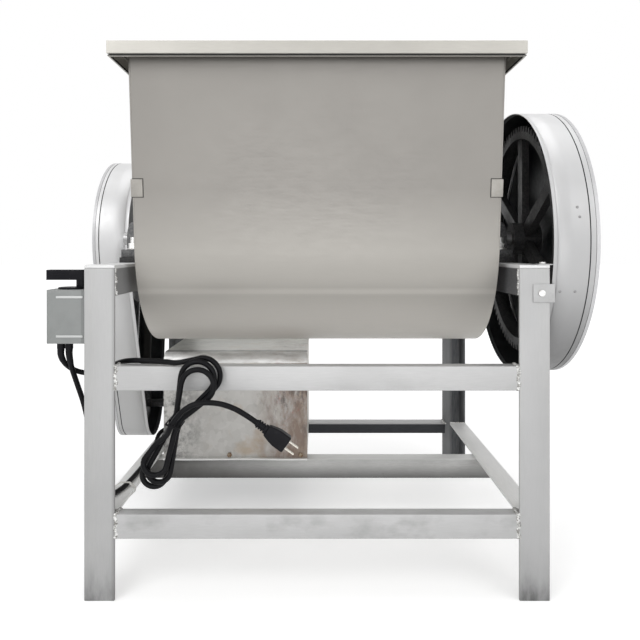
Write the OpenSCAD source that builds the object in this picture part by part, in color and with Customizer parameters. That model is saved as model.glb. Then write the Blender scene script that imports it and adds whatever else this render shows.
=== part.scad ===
// Horizontal dough mixer: a tilting stainless trough on an angle-iron frame,
// with a motor, a belt drive on the left and a gear drive on the right.

/* [Frame] */
// Width over the outer faces of the legs
frame_w = 764; // [700:2:840]
// Depth from the front face of the front legs to the back face of the back legs
frame_d = 650; // [620:2:720]
// Height of a leg
leg_h = 546; // [520:1:600]
// Width of one flange of a leg or a top side rail
leg_w = 50; // [40:1:60]
// Thickness of the angle iron
iron_t = 5; // [3:0.5:7]
// Height of the vertical flange of a top side rail
top_rail_drop = 46; // [30:1:60]
// Height of a cross rail at the front
rail_h = 40; // [30:1:50]
// Thickness front to back of a cross rail at the front
rail_d = 25; // [20:1:30]
// Wall of the rectangular tubes
tube_t = 2; // [1.5:0.5:4]
// Height of the top of the upper front rail
mid_rail_top = 385; // [340:1:390]
// Height of the top of the lower front rail
low_rail_top = 142; // [100:1:180]
// Height of the top of the lower side rails
side_rail_top = 129; // [110:1:170]
// Width of one flange of a lower side rail
side_rail_w = 40; // [30:1:45]
// Distance of the motor rail's front from the back of the frame
motor_rail_in = 322; // [300:1:340]

/* [Bearings and shafts] */
// Distance of the mixing shaft behind the front of the frame
shaft_y = 250; // [246:1:262]
// Thickness of a bearing plate
plate_t = 10; // [8:1:14]
// Length of a bearing plate
plate_len = 156; // [150:1:170]
// Height of a bearing's centre over its foot
bearing_h = 37; // [35:1:45]
// Length of a bearing's foot
bearing_len = 140; // [130:1:148]
// Width of a bearing's foot
bearing_w = 38; // [30:1:42]
// Thickness of a bearing's foot
bearing_foot_t = 15; // [10:1:18]
// Radius of a bearing's housing
bearing_r = 33; // [30:1:35]
// Distance between the two bolts of a bearing
bearing_bolt_gap = 105; // [98:1:110]
// Diameter of the mixing shaft and of the gear shaft
shaft_dia = 25; // [22:1:30]
// Diameter of the motor shaft
motor_shaft_dia = 19; // [16:1:22]

/* [Trough] */
// Room between each end of the trough and the side rail
trough_side_gap = 18; // [15:1:32]
// Outer radius of the trough's round bottom
trough_r = 201; // [195:1:205]
// Half of the trough's depth at the top of its walls
trough_top_half_d = 237; // [225:1:245]
// Height of the trough's rim over the shaft
trough_rise = 315; // [300:1:330]
// Thickness of the trough's sheet
sheet_t = 2; // [1.5:0.5:3]
// Thickness of an end plate
end_plate_t = 3; // [2:0.5:5]
// How far the rim stands out from the walls
rim_out = 27; // [20:1:30]
// Height of the lip that the rim turns down
lip_h = 25; // [18:1:30]

/* [Kneading arms] */
// Distance of an arm's tip from the shaft's centre
arm_reach = 176; // [150:1:180]
// Diameter of an arm
arm_dia = 20; // [16:1:24]
// Number of arms
arm_count = 5; // [3:1:6]
// Distance between two arms along the shaft
arm_pitch = 108; // [100:1:112]

/* [Gear drive] */
// Number of teeth on the large gear
gear_teeth = 88; // [88:4:92]
// Number of teeth on the small gear
pinion_teeth = 14; // [14:1:16]
// Size of a tooth: pitch diameter divided by number of teeth
gear_module = 5; // [4.8:0.1:5]
// Width of the large gear's rim
gear_w = 30; // [24:1:34]
// Distance of the gears' middle behind the open edge of their guard
gear_in = 32; // [30:1:36]
// Number of spokes of the large gear
spoke_count = 6; // [4:1:8]

/* [Belt drive] */
// Outer radius of the large pulley
big_pulley_r = 150; // [140:1:155]
// Outer radius of the small pulley
small_pulley_r = 52; // [48:1:56]
// Width of a pulley
pulley_w = 26; // [24:1:30]
// Width of the belt
belt_w = 17; // [15:1:18]
// Thickness of the belt
belt_t = 11; // [9:1:12]
// Distance of the pulleys' middle behind the open edge of their guard
pulley_in = 36; // [32:1:40]

/* [Guards] */
// Outer radius of the gear guard
gear_guard_r = 255; // [250:1:259]
// Distance of the gear guard's open edge from the legs
gear_guard_gap = 5; // [4:1:8]
// Room between the mixing shaft's end and the gear guard's cap
gear_cap_gap = 7.5; // [5:0.5:12]
// Radius of the belt guard round the large pulley
belt_guard_r = 185; // [180:1:188]
// Radius of the belt guard round the small pulley
belt_guard_low_r = 78; // [76:1:82]
// Distance of the belt guard's open edge from the legs
belt_guard_gap = 22; // [20:1:26]
// Room between the gear shaft's end and the belt guard's cap
belt_cap_gap = 14.5; // [8:0.5:18]
// Thickness of the guards' sheet
guard_t = 1.5; // [1:0.5:2]

/* [Motor] */
// Distance of the motor's shaft from the back of the frame
motor_in = 98; // [96:1:104]
// Radius of the motor's body without its fins
motor_r = 58; // [50:1:62]
// Length of the motor's finned body
motor_len = 170; // [150:1:180]
// Height of the motor cover
cover_h = 230; // [220:1:236]
// Distance of the motor cover's left wall from the machine's middle
cover_left = 330; // [328:1:331]
// Width of the motor cover
cover_w = 309; // [300:1:330]
// Radius of the bend along the cover's top edges
cover_bend_r = 22; // [12:1:26]

/* [Switch] */
// Width of the switch box
switch_w = 64; // [58:1:70]
// Depth of the switch box front to back
switch_d = 60; // [50:1:70]
// Height of the switch box
switch_h = 89; // [80:1:100]
// Distance of the switch box's floor below the top of the leg
switch_drop = 125; // [110:1:140]
// Length of the switch handle from its spindle
handle_len = 57; // [50:1:66]

/* [Cord] */
// Diameter of the mains cord
cord_dia = 9; // [9:0.1:9.2]
// Diameter of the motor cable
motor_cable_dia = 9; // [8:0.5:10]

/* [Hidden] */
$fn = 64;
over = 1;
fit = 0.3;
run_fit = 0.05;

steel = [0.72, 0.72, 0.7];
stainless = [0.66, 0.65, 0.61];
zinc = [0.62, 0.62, 0.6];
iron = [0.16, 0.16, 0.17];
black = [0.07, 0.07, 0.08];
grey = [0.5, 0.52, 0.52];

// Heights and places that follow the driving sizes
half_w = frame_w / 2;
leg_in = half_w - leg_w;
seat_z = leg_h + iron_t;
shaft_z = seat_z + plate_t + bearing_h;
rail_mid_x = half_w - leg_w / 2;
gear_pitch_r = gear_teeth * gear_module / 2;
pinion_pitch_r = pinion_teeth * gear_module / 2;
gear_y = shaft_y + gear_pitch_r + pinion_pitch_r;
cover_z = side_rail_top - iron_t;
motor_foot_h = 63;
motor_z = cover_z + iron_t + motor_foot_h;
trough_half_len = leg_in - trough_side_gap;
rim_half_d = trough_top_half_d + rim_out;
rim_half_len = trough_half_len + rim_out;

motor_y = frame_d - motor_in;
motor_rail_y = frame_d - motor_rail_in;
// Across the machine: guards, what turns in them, and the shafts that reach into them
shaft_stub = 8;
hub_w = 54;
pulley_hub_w = 34;
gear_guard_in = half_w + gear_guard_gap;
gear_x = gear_guard_in + gear_in;
shaft_right = gear_x + hub_w / 2 + shaft_stub;
gear_guard_out = shaft_right + gear_cap_gap + guard_t;
belt_guard_in = half_w + belt_guard_gap;
pulley_x = belt_guard_in + pulley_in;
gear_shaft_left = pulley_x + pulley_hub_w / 2 + shaft_stub;
belt_guard_out = gear_shaft_left + belt_cap_gap + guard_t;

// The origin is on the floor under the middle of the whole machine
mid_x = (gear_guard_out - belt_guard_out) / 2;
mid_y = (gear_y + belt_guard_r + shaft_y - rim_half_d) / 2;

module machine() translate([-mid_x, -mid_y, 0]) children();

// An outline drawn in (Y, Z) and pushed along X
module along_x(x0, x1) translate([x0, 0, 0]) rotate([90, 0, 90]) linear_extrude(x1 - x0) children();

module rod_x(x0, x1, d) translate([x0, 0, 0]) rotate([0, 90, 0]) cylinder(d = d, h = x1 - x0);

module box(x0, x1, y0, y1, z0, z1) translate([x0, y0, z0]) cube([x1 - x0, y1 - y0, z1 - z0]);

// Frame: four legs of angle iron, their corners outside
module leg(side, back) machine() color(steel)
    translate([side * half_w, back ? frame_d : 0, 0]) mirror([side > 0 ? 1 : 0, 0, 0])
    mirror([0, back ? 1 : 0, 0]) {
        cube([leg_w, iron_t, leg_h]);
        cube([iron_t, leg_w, leg_h]);
    }
module leg_front_left() leg(-1, false);
module leg_front_right() leg(1, false);
module leg_back_left() leg(-1, true);
module leg_back_right() leg(1, true);

// Top side rails: one flange lies on the legs, the other hangs on the inside
module top_rail(side) machine() color(steel) mirror([side > 0 ? 1 : 0, 0, 0]) {
    box(-half_w, -leg_in, 0, frame_d, leg_h, seat_z);
    box(-leg_in - iron_t, -leg_in, iron_t, frame_d - iron_t, leg_h - top_rail_drop, leg_h);
}
module top_rail_left() top_rail(-1);
module top_rail_right() top_rail(1);

// Lower side rails: one flange on top, the other on the outside
module low_rail(side) machine() color(steel) mirror([side > 0 ? 1 : 0, 0, 0]) {
    box(-half_w, -half_w + side_rail_w, leg_w, frame_d - leg_w, cover_z, side_rail_top);
    box(-half_w, -half_w + iron_t, leg_w, frame_d - leg_w, side_rail_top - side_rail_w, cover_z);
}
module low_rail_left() low_rail(-1);
module low_rail_right() low_rail(1);

// Cross rails: rectangular tubes, open at their welded ends
module cross_tube(half_len, y0, depth, top, height) machine() color(steel) difference() {
    box(-half_len, half_len, y0, y0 + depth, top - height, top);
    box(-half_len - over, half_len + over, y0 + tube_t, y0 + depth - tube_t,
        top - height + tube_t, top - tube_t);
}
motor_rail_d = 37;
module front_mid_rail() cross_tube(leg_in, 0, rail_d, mid_rail_top, rail_h);
module front_low_rail() cross_tube(leg_in, 0, rail_d, low_rail_top, rail_h);
module motor_rail() cross_tube(half_w - iron_t, motor_rail_y, motor_rail_d, cover_z, rail_h);
module back_low_rail() cross_tube(leg_in, frame_d - rail_h, rail_h, cover_z, rail_d);
module back_mid_rail() cross_tube(leg_in, frame_d - rail_d, rail_d, mid_rail_top, rail_h);

// Bearings: a flat plate on the rail, a pillow block on it, two bolts through both
bolt_dia = 12;
bolt_hole = 13;
plate_w = 40;
nut_h = 10;
nut_r = 10;
washer_r = 12;
washer_t = 2.5;
bolt_up = 14;
module at_bearings() for (side = [-1, 1], y = [shaft_y, gear_y])
    translate([side * rail_mid_x, y, 0]) children();
module at_bolts() for (end = [-1, 1]) translate([0, end * bearing_bolt_gap / 2, 0]) children();

module bearing_plates() machine() color(iron) at_bearings() difference() {
    box(-plate_w / 2, plate_w / 2, -plate_len / 2, plate_len / 2, seat_z, seat_z + plate_t);
    at_bolts() translate([0, 0, seat_z - over]) cylinder(d = bolt_hole, h = plate_t + 2 * over);
}

module bearing(side, y) machine() color(iron) translate([side * rail_mid_x, y, 0]) {
    foot_z = seat_z + plate_t;
    difference() {
        union() {
            box(-bearing_w / 2, bearing_w / 2, -bearing_len / 2, bearing_len / 2,
                foot_z, foot_z + bearing_foot_t);
            box(-bearing_w / 2, bearing_w / 2, -bearing_r, bearing_r, foot_z, shaft_z);
            translate([0, 0, shaft_z]) rod_x(-bearing_w / 2, bearing_w / 2, 2 * bearing_r);
        }
        translate([0, 0, shaft_z]) rod_x(-bearing_w / 2 - over, bearing_w / 2 + over,
            shaft_dia + 2 * run_fit);
        at_bolts() translate([0, 0, foot_z - over])
            cylinder(d = bolt_hole, h = bearing_foot_t + 2 * over);
    }
}
module main_bearing_left() bearing(-1, shaft_y);
module main_bearing_right() bearing(1, shaft_y);
module gear_bearing_left() bearing(-1, gear_y);
module gear_bearing_right() bearing(1, gear_y);

module bearing_bolts() machine() color(zinc) at_bearings() at_bolts() {
    foot_top = seat_z + plate_t + bearing_foot_t;
    translate([0, 0, seat_z]) cylinder(d = bolt_dia, h = foot_top + bolt_up + nut_h - seat_z);
    translate([0, 0, foot_top]) cylinder(r = washer_r, h = washer_t);
    translate([0, 0, foot_top + washer_t]) cylinder(r = nut_r, h = nut_h, $fn = 6);
}

// Outline round two circles, for the belt, its guard and the gear guard
arc_step = 3;
half_turn = 180;
function arc(c, r, from, to) = let (n = ceil(abs(to - from) / arc_step))
    [for (i = [0 : n]) let (a = from + (to - from) * i / n) c + r * [cos(a), sin(a)]];
function base_of(c1, c2) = atan2(c2.y - c1.y, c2.x - c1.x);
function tangent_of(c1, r1, c2, r2) = acos((r1 - r2) / norm(c2 - c1));
module round_pair(c1, r1, c2, r2) {
    base = base_of(c1, c2);
    a = tangent_of(c1, r1, c2, r2);
    polygon(concat(arc(c1, r1, base + a, base + 2 * half_turn - a), arc(c2, r2, base - a, base + a)));
}

// Right guard: a drum round the large gear, with a bulge behind for the small one
pinion_guard_r = 52;
cap_in = 6;
main_at = [shaft_y, shaft_z];
gear_at = [gear_y, shaft_z];
motor_at = [motor_y, motor_z];
// The drum hangs a little lower than the shaft
gear_guard_drop = 7;
drum_at = [shaft_y, shaft_z - gear_guard_drop];
module gear_guard_outline(inset) round_pair(drum_at, gear_guard_r - inset,
    gear_at, pinion_guard_r - inset);
module gear_guard_band() machine() color(steel) along_x(gear_guard_in, gear_guard_out - cap_in)
    difference() {
        gear_guard_outline(0);
        gear_guard_outline(guard_t);
    }
module gear_guard_cap() machine() color(steel) {
    along_x(gear_guard_out - cap_in, gear_guard_out - guard_t) difference() {
        gear_guard_outline(0);
        gear_guard_outline(guard_t);
    }
    along_x(gear_guard_out - guard_t, gear_guard_out) gear_guard_outline(0);
}

// Left guard: a tear-drop round the belt and its two pulleys
module belt_guard_outline(inset) round_pair(gear_at, belt_guard_r - inset,
    motor_at, belt_guard_low_r - inset);
module belt_guard_band() machine() color(steel) along_x(cap_in - belt_guard_out, -belt_guard_in)
    difference() {
        belt_guard_outline(0);
        belt_guard_outline(guard_t);
    }
module belt_guard_cap() machine() color(steel) {
    along_x(guard_t - belt_guard_out, cap_in - belt_guard_out) difference() {
        belt_guard_outline(0);
        belt_guard_outline(guard_t);
    }
    along_x(-belt_guard_out, guard_t - belt_guard_out) belt_guard_outline(0);
}

// Sheet tabs that carry the guards: one on the front leg, the others on the rails and back legs
tab_w = 18;
tab_h = 30;
tab_t = 2;
tab_lap = 22;
tab_z = 505;
screw_dia = 5;
screw_head_r = 5.5;
screw_head_h = 3;
belt_back_angle = base_of(gear_at, motor_at)
    + tangent_of(gear_at, belt_guard_r, motor_at, belt_guard_low_r);
tab_high_z = seat_z + tab_t;
function wall_front(at, r) = at.x + fit - sqrt(pow(r - guard_t, 2) - pow(at.y - seat_z, 2));
belt_tab_y = wall_front(gear_at, belt_guard_r);
gear_tab_y = wall_front(drum_at, gear_guard_r);
leg_tab_w = 28;
guard_tab_x = gear_guard_in + tab_t + 2 * fit;
gear_guard_front = drum_at.x - sqrt(pow(gear_guard_r, 2) - pow(drum_at.y - tab_z, 2));
cap_screw_angles = [20, 110, 200, 290];
cap_screw_r = gear_guard_r - tab_h / 2;
belt_screw_r = belt_guard_r - tab_h / 2;
module guard_tabs() machine() color(steel) {
    // Right guard to the front right leg
    box(half_w - leg_tab_w, guard_tab_x, -tab_t, 0, tab_z - tab_h / 2, tab_z + tab_h / 2);
    difference() {
        box(guard_tab_x - tab_t, guard_tab_x, 0, gear_guard_front + tab_w,
            tab_z - tab_h / 2, tab_z + tab_h / 2);
        along_x(gear_guard_in - over, gear_guard_out) gear_guard_outline(guard_t);
        along_x(gear_guard_in - over, gear_guard_out) difference() {
            gear_guard_outline(0);
            gear_guard_outline(guard_t);
        }
    }
    // Both guards to the top rails, inside their curved fronts
    box(-belt_guard_in - tab_lap, -half_w + tab_w, belt_tab_y, belt_tab_y + tab_w,
        seat_z, tab_high_z);
    box(half_w - tab_w, gear_guard_in + tab_t + fit, gear_tab_y, gear_tab_y + tab_w,
        seat_z, tab_high_z);
    // Left guard to the back left leg, along the guard's straight back
    along_x(-belt_guard_in - tab_lap, -half_w) translate(motor_at) rotate(belt_back_angle)
        translate([belt_guard_low_r + fit, 0]) square([tab_t, tab_h]);
}
module guard_screws() machine() color(zinc) {
    translate([half_w - leg_tab_w / 2, -tab_t, tab_z]) rotate([90, 0, 0])
        cylinder(r = screw_head_r, h = screw_head_h);
    for (p = [[-half_w + tab_w / 2, belt_tab_y], [half_w - tab_w / 2, gear_tab_y]])
        translate([p.x, p.y + tab_w / 2, tab_high_z]) cylinder(r = screw_head_r, h = screw_head_h);
    for (a = cap_screw_angles) translate([gear_guard_out, drum_at.x + cap_screw_r * cos(a),
        drum_at.y + cap_screw_r * sin(a)]) rod_x(0, screw_head_h / 2, screw_head_r);
    for (a = cap_screw_angles) translate([-belt_guard_out, gear_y + belt_screw_r * cos(a),
        shaft_z + belt_screw_r * sin(a)]) rod_x(-screw_head_h / 2, 0, screw_head_r);
}

// Gear teeth with involute flanks
pressure = 20;
play_share = 0.06;
root_share = 1.25;
function involute(base_r, r) = let (c = acos(min(1, base_r / r))) tan(c) * 180 / PI - c;
function half_tooth(teeth, base_r, pitch_r, r) = 90 / teeth * (1 - play_share)
    + involute(base_r, pitch_r) - involute(base_r, max(r, base_r));
function gear_points(teeth, size) =
    let (pitch_r = teeth * size / 2, base_r = pitch_r * cos(pressure),
        tip_r = pitch_r + size, foot_r = pitch_r - root_share * size,
        low_r = max(base_r, foot_r), steps = [foot_r, (low_r + pitch_r) / 2, pitch_r, tip_r])
    [for (i = [0 : teeth - 1]) each concat(
        [for (k = [0 : 3]) let (a = i * 360 / teeth - half_tooth(teeth, base_r, pitch_r, steps[k]))
            steps[k] * [cos(a), sin(a)]],
        [for (k = [3 : -1 : 0]) let (a = i * 360 / teeth + half_tooth(teeth, base_r, pitch_r, steps[k]))
            steps[k] * [cos(a), sin(a)]])];

// Large cast gear on the mixing shaft
gear_rim_t = 20;
hub_r = 32;
spoke_w = 26;
first_spoke_angle = 30;
web_w = 14;
module main_gear() machine() color(iron) difference() {
    union() {
        along_x(gear_x - gear_w / 2, gear_x + gear_w / 2) translate(main_at) difference() {
            polygon(gear_points(gear_teeth, gear_module));
            circle(gear_pitch_r - gear_rim_t, $fn = 96);
        }
        along_x(gear_x - hub_w / 2, gear_x + hub_w / 2) translate(main_at) circle(hub_r);
        along_x(gear_x - web_w / 2, gear_x + web_w / 2) translate(main_at)
            for (i = [0 : spoke_count - 1]) rotate(first_spoke_angle + i * 360 / spoke_count)
                translate([hub_r - over, -spoke_w / 2])
                    square([gear_pitch_r - gear_rim_t - hub_r + 2 * over, spoke_w]);
    }
    translate([0, shaft_y, shaft_z]) rod_x(gear_x - hub_w, gear_x + hub_w, shaft_dia + 2 * run_fit);
}

// Mixing shaft through both main bearings and the trough
shaft_left = half_w + shaft_stub;
module mixing_shaft() machine() color(steel) translate([0, shaft_y, shaft_z])
    rod_x(-shaft_left, shaft_right, shaft_dia);

// Kneading arms: round rods on clamped hubs, a flat paddle at each tip
arm_hub_r = 24;
arm_hub_w = 44;
paddle_l = 70;
paddle_w = 64;
paddle_t = 8;
arm_twist = 144;
first_arm_angle = 250;
paddle_lean = 25;
module kneading_arms() machine() color(stainless) translate([0, shaft_y, shaft_z])
    for (i = [0 : arm_count - 1]) translate([(i - (arm_count - 1) / 2) * arm_pitch, 0, 0])
        rotate([first_arm_angle + i * arm_twist, 0, 0]) difference() {
            union() {
                rod_x(-arm_hub_w / 2, arm_hub_w / 2, 2 * arm_hub_r);
                cylinder(d = arm_dia, h = arm_reach - paddle_l / 2);
                translate([0, 0, arm_reach - paddle_l]) rotate([0, 0, paddle_lean])
                    box(-paddle_w / 2, paddle_w / 2, -paddle_t / 2, paddle_t / 2, 0, paddle_l);
            }
            rod_x(-arm_hub_w, arm_hub_w, shaft_dia + 2 * run_fit);
        }

// Collars that keep the mixing shaft from sliding in its bearings
collar_r = 20;
collar_w = 12;
collar_out = rail_mid_x - bearing_w / 2 - fit;
module shaft_collars() machine() color(zinc) translate([0, shaft_y, shaft_z]) difference() {
    union() {
        rod_x(collar_out - collar_w, collar_out, 2 * collar_r);
        rod_x(-collar_out, collar_w - collar_out, 2 * collar_r);
    }
    rod_x(-half_w - over, half_w + over, shaft_dia + 2 * run_fit);
}

// Gear shaft behind the trough, with the small gear right and the large pulley left
pinion_w = 36;
gear_shaft_right = gear_x + pinion_w / 2 + shaft_stub;
module gear_shaft() machine() color(steel) translate([0, gear_y, shaft_z])
    rod_x(-gear_shaft_left, gear_shaft_right, shaft_dia);
module pinion() machine() color(iron) difference() {
    along_x(gear_x - pinion_w / 2, gear_x + pinion_w / 2) translate(gear_at)
        rotate(pinion_teeth % 2 == 0 ? 180 / pinion_teeth : 0)
            polygon(gear_points(pinion_teeth, gear_module));
    translate([0, gear_y, shaft_z]) rod_x(gear_x - pinion_w, gear_x + pinion_w,
        shaft_dia + 2 * run_fit);
}

// Belt pulleys with a square groove; the belt rides on the groove's floor
groove_side = 0.5;
pulley_flange_over = 2;
pulley_hub_r = 24;
pulley_rim_t = 12;
pulley_web_t = 8;
groove_w = belt_w + 2 * groove_side;
module pulley(r, bore, webbed) rotate([0, 90, 0]) rotate_extrude($fn = 96) {
    bore_r = bore / 2 + run_fit;
    floor_r = r - pulley_flange_over - belt_t;
    translate([bore_r, -pulley_hub_w / 2]) square([pulley_hub_r - bore_r, pulley_hub_w]);
    translate([pulley_hub_r - over, -(webbed ? pulley_web_t : pulley_w) / 2])
        square([floor_r - pulley_hub_r + over, webbed ? pulley_web_t : pulley_w]);
    translate([floor_r - pulley_rim_t, -pulley_w / 2]) square([pulley_rim_t, pulley_w]);
    for (side = [-1, 1]) translate([floor_r - over, side * (pulley_w + groove_w) / 4
        - (pulley_w - groove_w) / 4]) square([r - floor_r + over, (pulley_w - groove_w) / 2]);
}
module big_pulley() machine() color(iron) translate([-pulley_x, gear_y, shaft_z])
    pulley(big_pulley_r, shaft_dia, true);
module small_pulley() machine() color(iron) translate([-pulley_x, motor_y, motor_z])
    pulley(small_pulley_r, motor_shaft_dia, false);
module drive_belt() machine() color(black) along_x(-pulley_x - belt_w / 2, -pulley_x + belt_w / 2)
    difference() {
        out = fit - pulley_flange_over;
        round_pair(gear_at, big_pulley_r + out, motor_at, small_pulley_r + out);
        round_pair(gear_at, big_pulley_r + out - belt_t, motor_at, small_pulley_r + out - belt_t);
    }

// The motor stands in a sheet cover that is screwed to short angle cleats on the motor rail
cover_front = motor_rail_y;
cover_gap = 2;
cover_back = frame_d - rail_d - cover_gap;
cover_t = 1.5;
cleat_w = 24;
cleat_h = 18;

// Motor: finned body on feet, fan cover at its right end
motor_wall_gap = 46;
motor_left = motor_wall_gap - cover_left;
motor_fin_h = 6;
motor_fin_w = 3;
motor_fins = 24;
motor_cap_len = 44;
motor_box_w = 80;
motor_box_d = 70;
motor_box_h = 32;
foot_w = 26;
foot_t = 10;
foot_reach = 68;
module motor_body() machine() color(grey) translate([0, motor_y, motor_z]) difference() {
    union() {
        rod_x(motor_left, motor_left + motor_len, 2 * motor_r);
        rod_x(motor_left - foot_t, motor_left, 2 * motor_r - 2 * motor_fin_h);
        for (i = [0 : motor_fins - 1]) rotate([i * 360 / motor_fins, 0, 0])
            box(motor_left + foot_t, motor_left + motor_len - foot_t, -motor_fin_w / 2,
                motor_fin_w / 2, motor_r - over, motor_r + motor_fin_h - over);
        box(motor_left + foot_w, motor_left + foot_w + motor_box_w, -motor_box_d / 2,
            motor_box_d / 2, 0, motor_r + motor_box_h);
    }
    rod_x(motor_left - 2 * foot_t, motor_left + foot_w, motor_shaft_dia + 2 * run_fit);
    box(motor_left - over - foot_t, motor_left + motor_len + over, -motor_r - 2 * motor_fin_h,
        motor_r + 2 * motor_fin_h, -motor_foot_h - foot_t, -motor_foot_h + foot_t);
}
motor_dimple_r = 20;
module motor_fan_cover() machine() color(iron) translate([motor_left + motor_len, motor_y, motor_z])
    rotate([0, 90, 0]) rotate_extrude() {
        translate([motor_r - motor_fin_h, 0]) square([motor_fin_h - over, motor_cap_len]);
        translate([motor_dimple_r, motor_cap_len - guard_t])
            square([motor_r - over - motor_dimple_r, guard_t]);
    }
module motor_feet() machine() color(grey) translate([0, motor_y, cover_z]) {
    foot_reach_front = motor_y - cover_front - cleat_w - over;
    foot_reach_back = cover_back - cover_t - over - motor_y;
    for (x = [motor_left + foot_w, motor_left + motor_len - 2 * foot_w]) {
        box(x, x + foot_w, -foot_reach_front, foot_reach_back, 0, iron_t);
        box(x, x + foot_w, -foot_reach, foot_reach_back, iron_t, iron_t + foot_t);
    }
}

// Motor cover: one folded sheet with closed ends, open below, slot for the motor shaft
slot_r = 30;
module cover_outline(inset) {
    y0 = cover_front + inset;
    y1 = cover_back - inset;
    top = cover_z + cover_h - inset;
    r = cover_bend_r - inset;
    translate([y0, cover_z - (inset > 0 ? over : 0)]) square([y1 - y0, cover_h - cover_bend_r
        + (inset > 0 ? over : 0)]);
    translate([y0 + r, cover_z]) square([y1 - y0 - 2 * r, top - cover_z]);
    for (y = [y0 + r, y1 - r]) translate([y, top - r]) circle(r);
}
module motor_cover() machine() color(zinc) difference() {
    along_x(-cover_left, cover_w - cover_left) cover_outline(0);
    along_x(cover_t - cover_left, cover_w - cover_left - cover_t) cover_outline(cover_t);
    translate([0, motor_y, motor_z]) rod_x(-cover_left - over, -cover_left + 2 * cover_t,
        2 * slot_r);
    translate([0, cable_end.y, cable_end.z]) rod_x(-cover_left - over, -cover_left + 2 * cover_t,
        motor_cable_dia + 2 * fit);
}
cover_screw_up = 10;
cover_screw_z = cover_z + cover_screw_up;
cover_screw_x = [-312, -188, -35];
module cover_cleats() machine() color(zinc) for (x = cover_screw_x) {
    box(x - cleat_w / 2, x + cleat_w / 2, cover_front + cover_t, cover_front + cover_t + tab_t,
        cover_z, cover_z + cleat_h);
    box(x - cleat_w / 2, x + cleat_w / 2, cover_front + cover_t + tab_t, cover_front + cleat_w,
        cover_z, cover_z + tab_t);
}
module cover_screws() machine() color(zinc) for (x = cover_screw_x)
    translate([x, cover_front, cover_screw_z]) rotate([90, 0, 0])
        cylinder(r = screw_head_r, h = screw_head_h, $fn = 6);
module motor_shaft() machine() color(steel) translate([0, motor_y, motor_z])
    rod_x(-pulley_x - pulley_hub_w / 2 - over, motor_left + foot_w - over, motor_shaft_dia);

// Switch box outside the front left leg, with a lid in front and a round boss on top
lid_t = 3;
rib_h = 1.5;
rib_len = 44;
rib_t = 4;
rib_inset = 12;
boss_r = 23;
boss_h = 3;
switch_left = -half_w - switch_w;
switch_y = 6;
switch_z = leg_h - switch_drop;
switch_top = switch_z + switch_h;
switch_mid = switch_left + switch_w / 2;
post_dia = 19;
post_h = 12;
bar_h = 17;
post_in = 16;
post_x = -half_w - post_in;
gland_r = 6.5;
cord_exit = [-434, 36, 409];
cable_exit = [-420, 36, 409];
module switch_box() machine() color(grey) difference() {
    box(switch_left, -half_w, switch_y + lid_t, switch_y + switch_d, switch_z, switch_top);
    box(switch_left + cover_t, -half_w - cover_t, switch_y + lid_t - over,
        switch_y + switch_d - cover_t, switch_z + cover_t, switch_top - cover_t);
}
module switch_lid() machine() color(grey) {
    box(switch_left, -half_w, switch_y, switch_y + lid_t, switch_z, switch_top);
    for (z = [switch_z + rib_inset, switch_top - rib_inset])
        box(-half_w - rib_len - rib_t, -half_w - rib_t, switch_y - rib_h, switch_y,
            z - rib_t / 2, z + rib_t / 2);
}
module switch_boss() machine() color(black)
    translate([switch_mid, switch_y + switch_d / 2, switch_top]) cylinder(r = boss_r, h = boss_h);
module switch_handle() machine() color(black)
    translate([post_x, switch_y + switch_d / 2, switch_top + boss_h + fit]) {
        cylinder(d = post_dia, h = post_h + bar_h);
        box(-handle_len, 0, -post_dia / 2, post_dia / 2, post_h, post_h + bar_h);
    }
module cable_glands() machine() color(black) for (p = [cord_exit, cable_exit])
    translate([p.x, p.y, p.z]) cylinder(r = gland_r, h = switch_z - p.z);

// Cords: tubes swept along hand-chosen points
function unit(v) = v / norm(v);
function tangent(p, i) = unit(p[min(i + 1, len(p) - 1)] - p[max(i - 1, 0)]);
function side_of(t) = unit(cross(t, abs(t.y) < 0.9 ? [0, 1, 0] : [1, 0, 0]));
function carried_all(p, i = 0, sides = []) = i == len(p) ? sides
    : let (t = tangent(p, i), s = i == 0 ? side_of(t) : sides[i - 1])
        carried_all(p, i + 1, concat(sides, [unit(s - (s * t) * t)]));
module tube(p, d, sides) {
    n = len(p);
    across = carried_all(p);
    rings = [for (i = [0 : n - 1]) let (t = tangent(p, i), u = across[i], v = cross(t, u))
        for (k = [0 : sides - 1]) p[i] + d / 2 * (cos(k * 360 / sides) * u + sin(k * 360 / sides) * v)];
    faces = concat(
        [for (i = [0 : n - 2], k = [0 : sides - 1])
            let (a = i * sides + k, b = i * sides + (k + 1) % sides) [a, a + sides, b + sides]],
        [for (i = [0 : n - 2], k = [0 : sides - 1])
            let (a = i * sides + k, b = i * sides + (k + 1) % sides) [a, b + sides, b]],
        [for (k = [1 : sides - 2]) [0, k, k + 1]],
        [for (k = [1 : sides - 2]) let (e = (n - 1) * sides) [e, e + k + 1, e + k]]);
    polyhedron(points = rings, faces = faces);
}
// A smooth curve through the chosen points, each span cut into equal steps
function spline_at(a, b, c, d, t) = 0.5 * (2 * b + (c - a) * t + (2 * a - 5 * b + 4 * c - d) * t * t
    + (3 * b - a - 3 * c + d) * t * t * t);
function smooth(p, cuts) = let (n = len(p)) concat(
    [for (i = [0 : n - 2], k = [0 : cuts - 1])
        spline_at(p[max(i - 1, 0)], p[i], p[i + 1], p[min(i + 2, n - 1)], k / cuts)], [p[n - 1]]);

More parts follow.
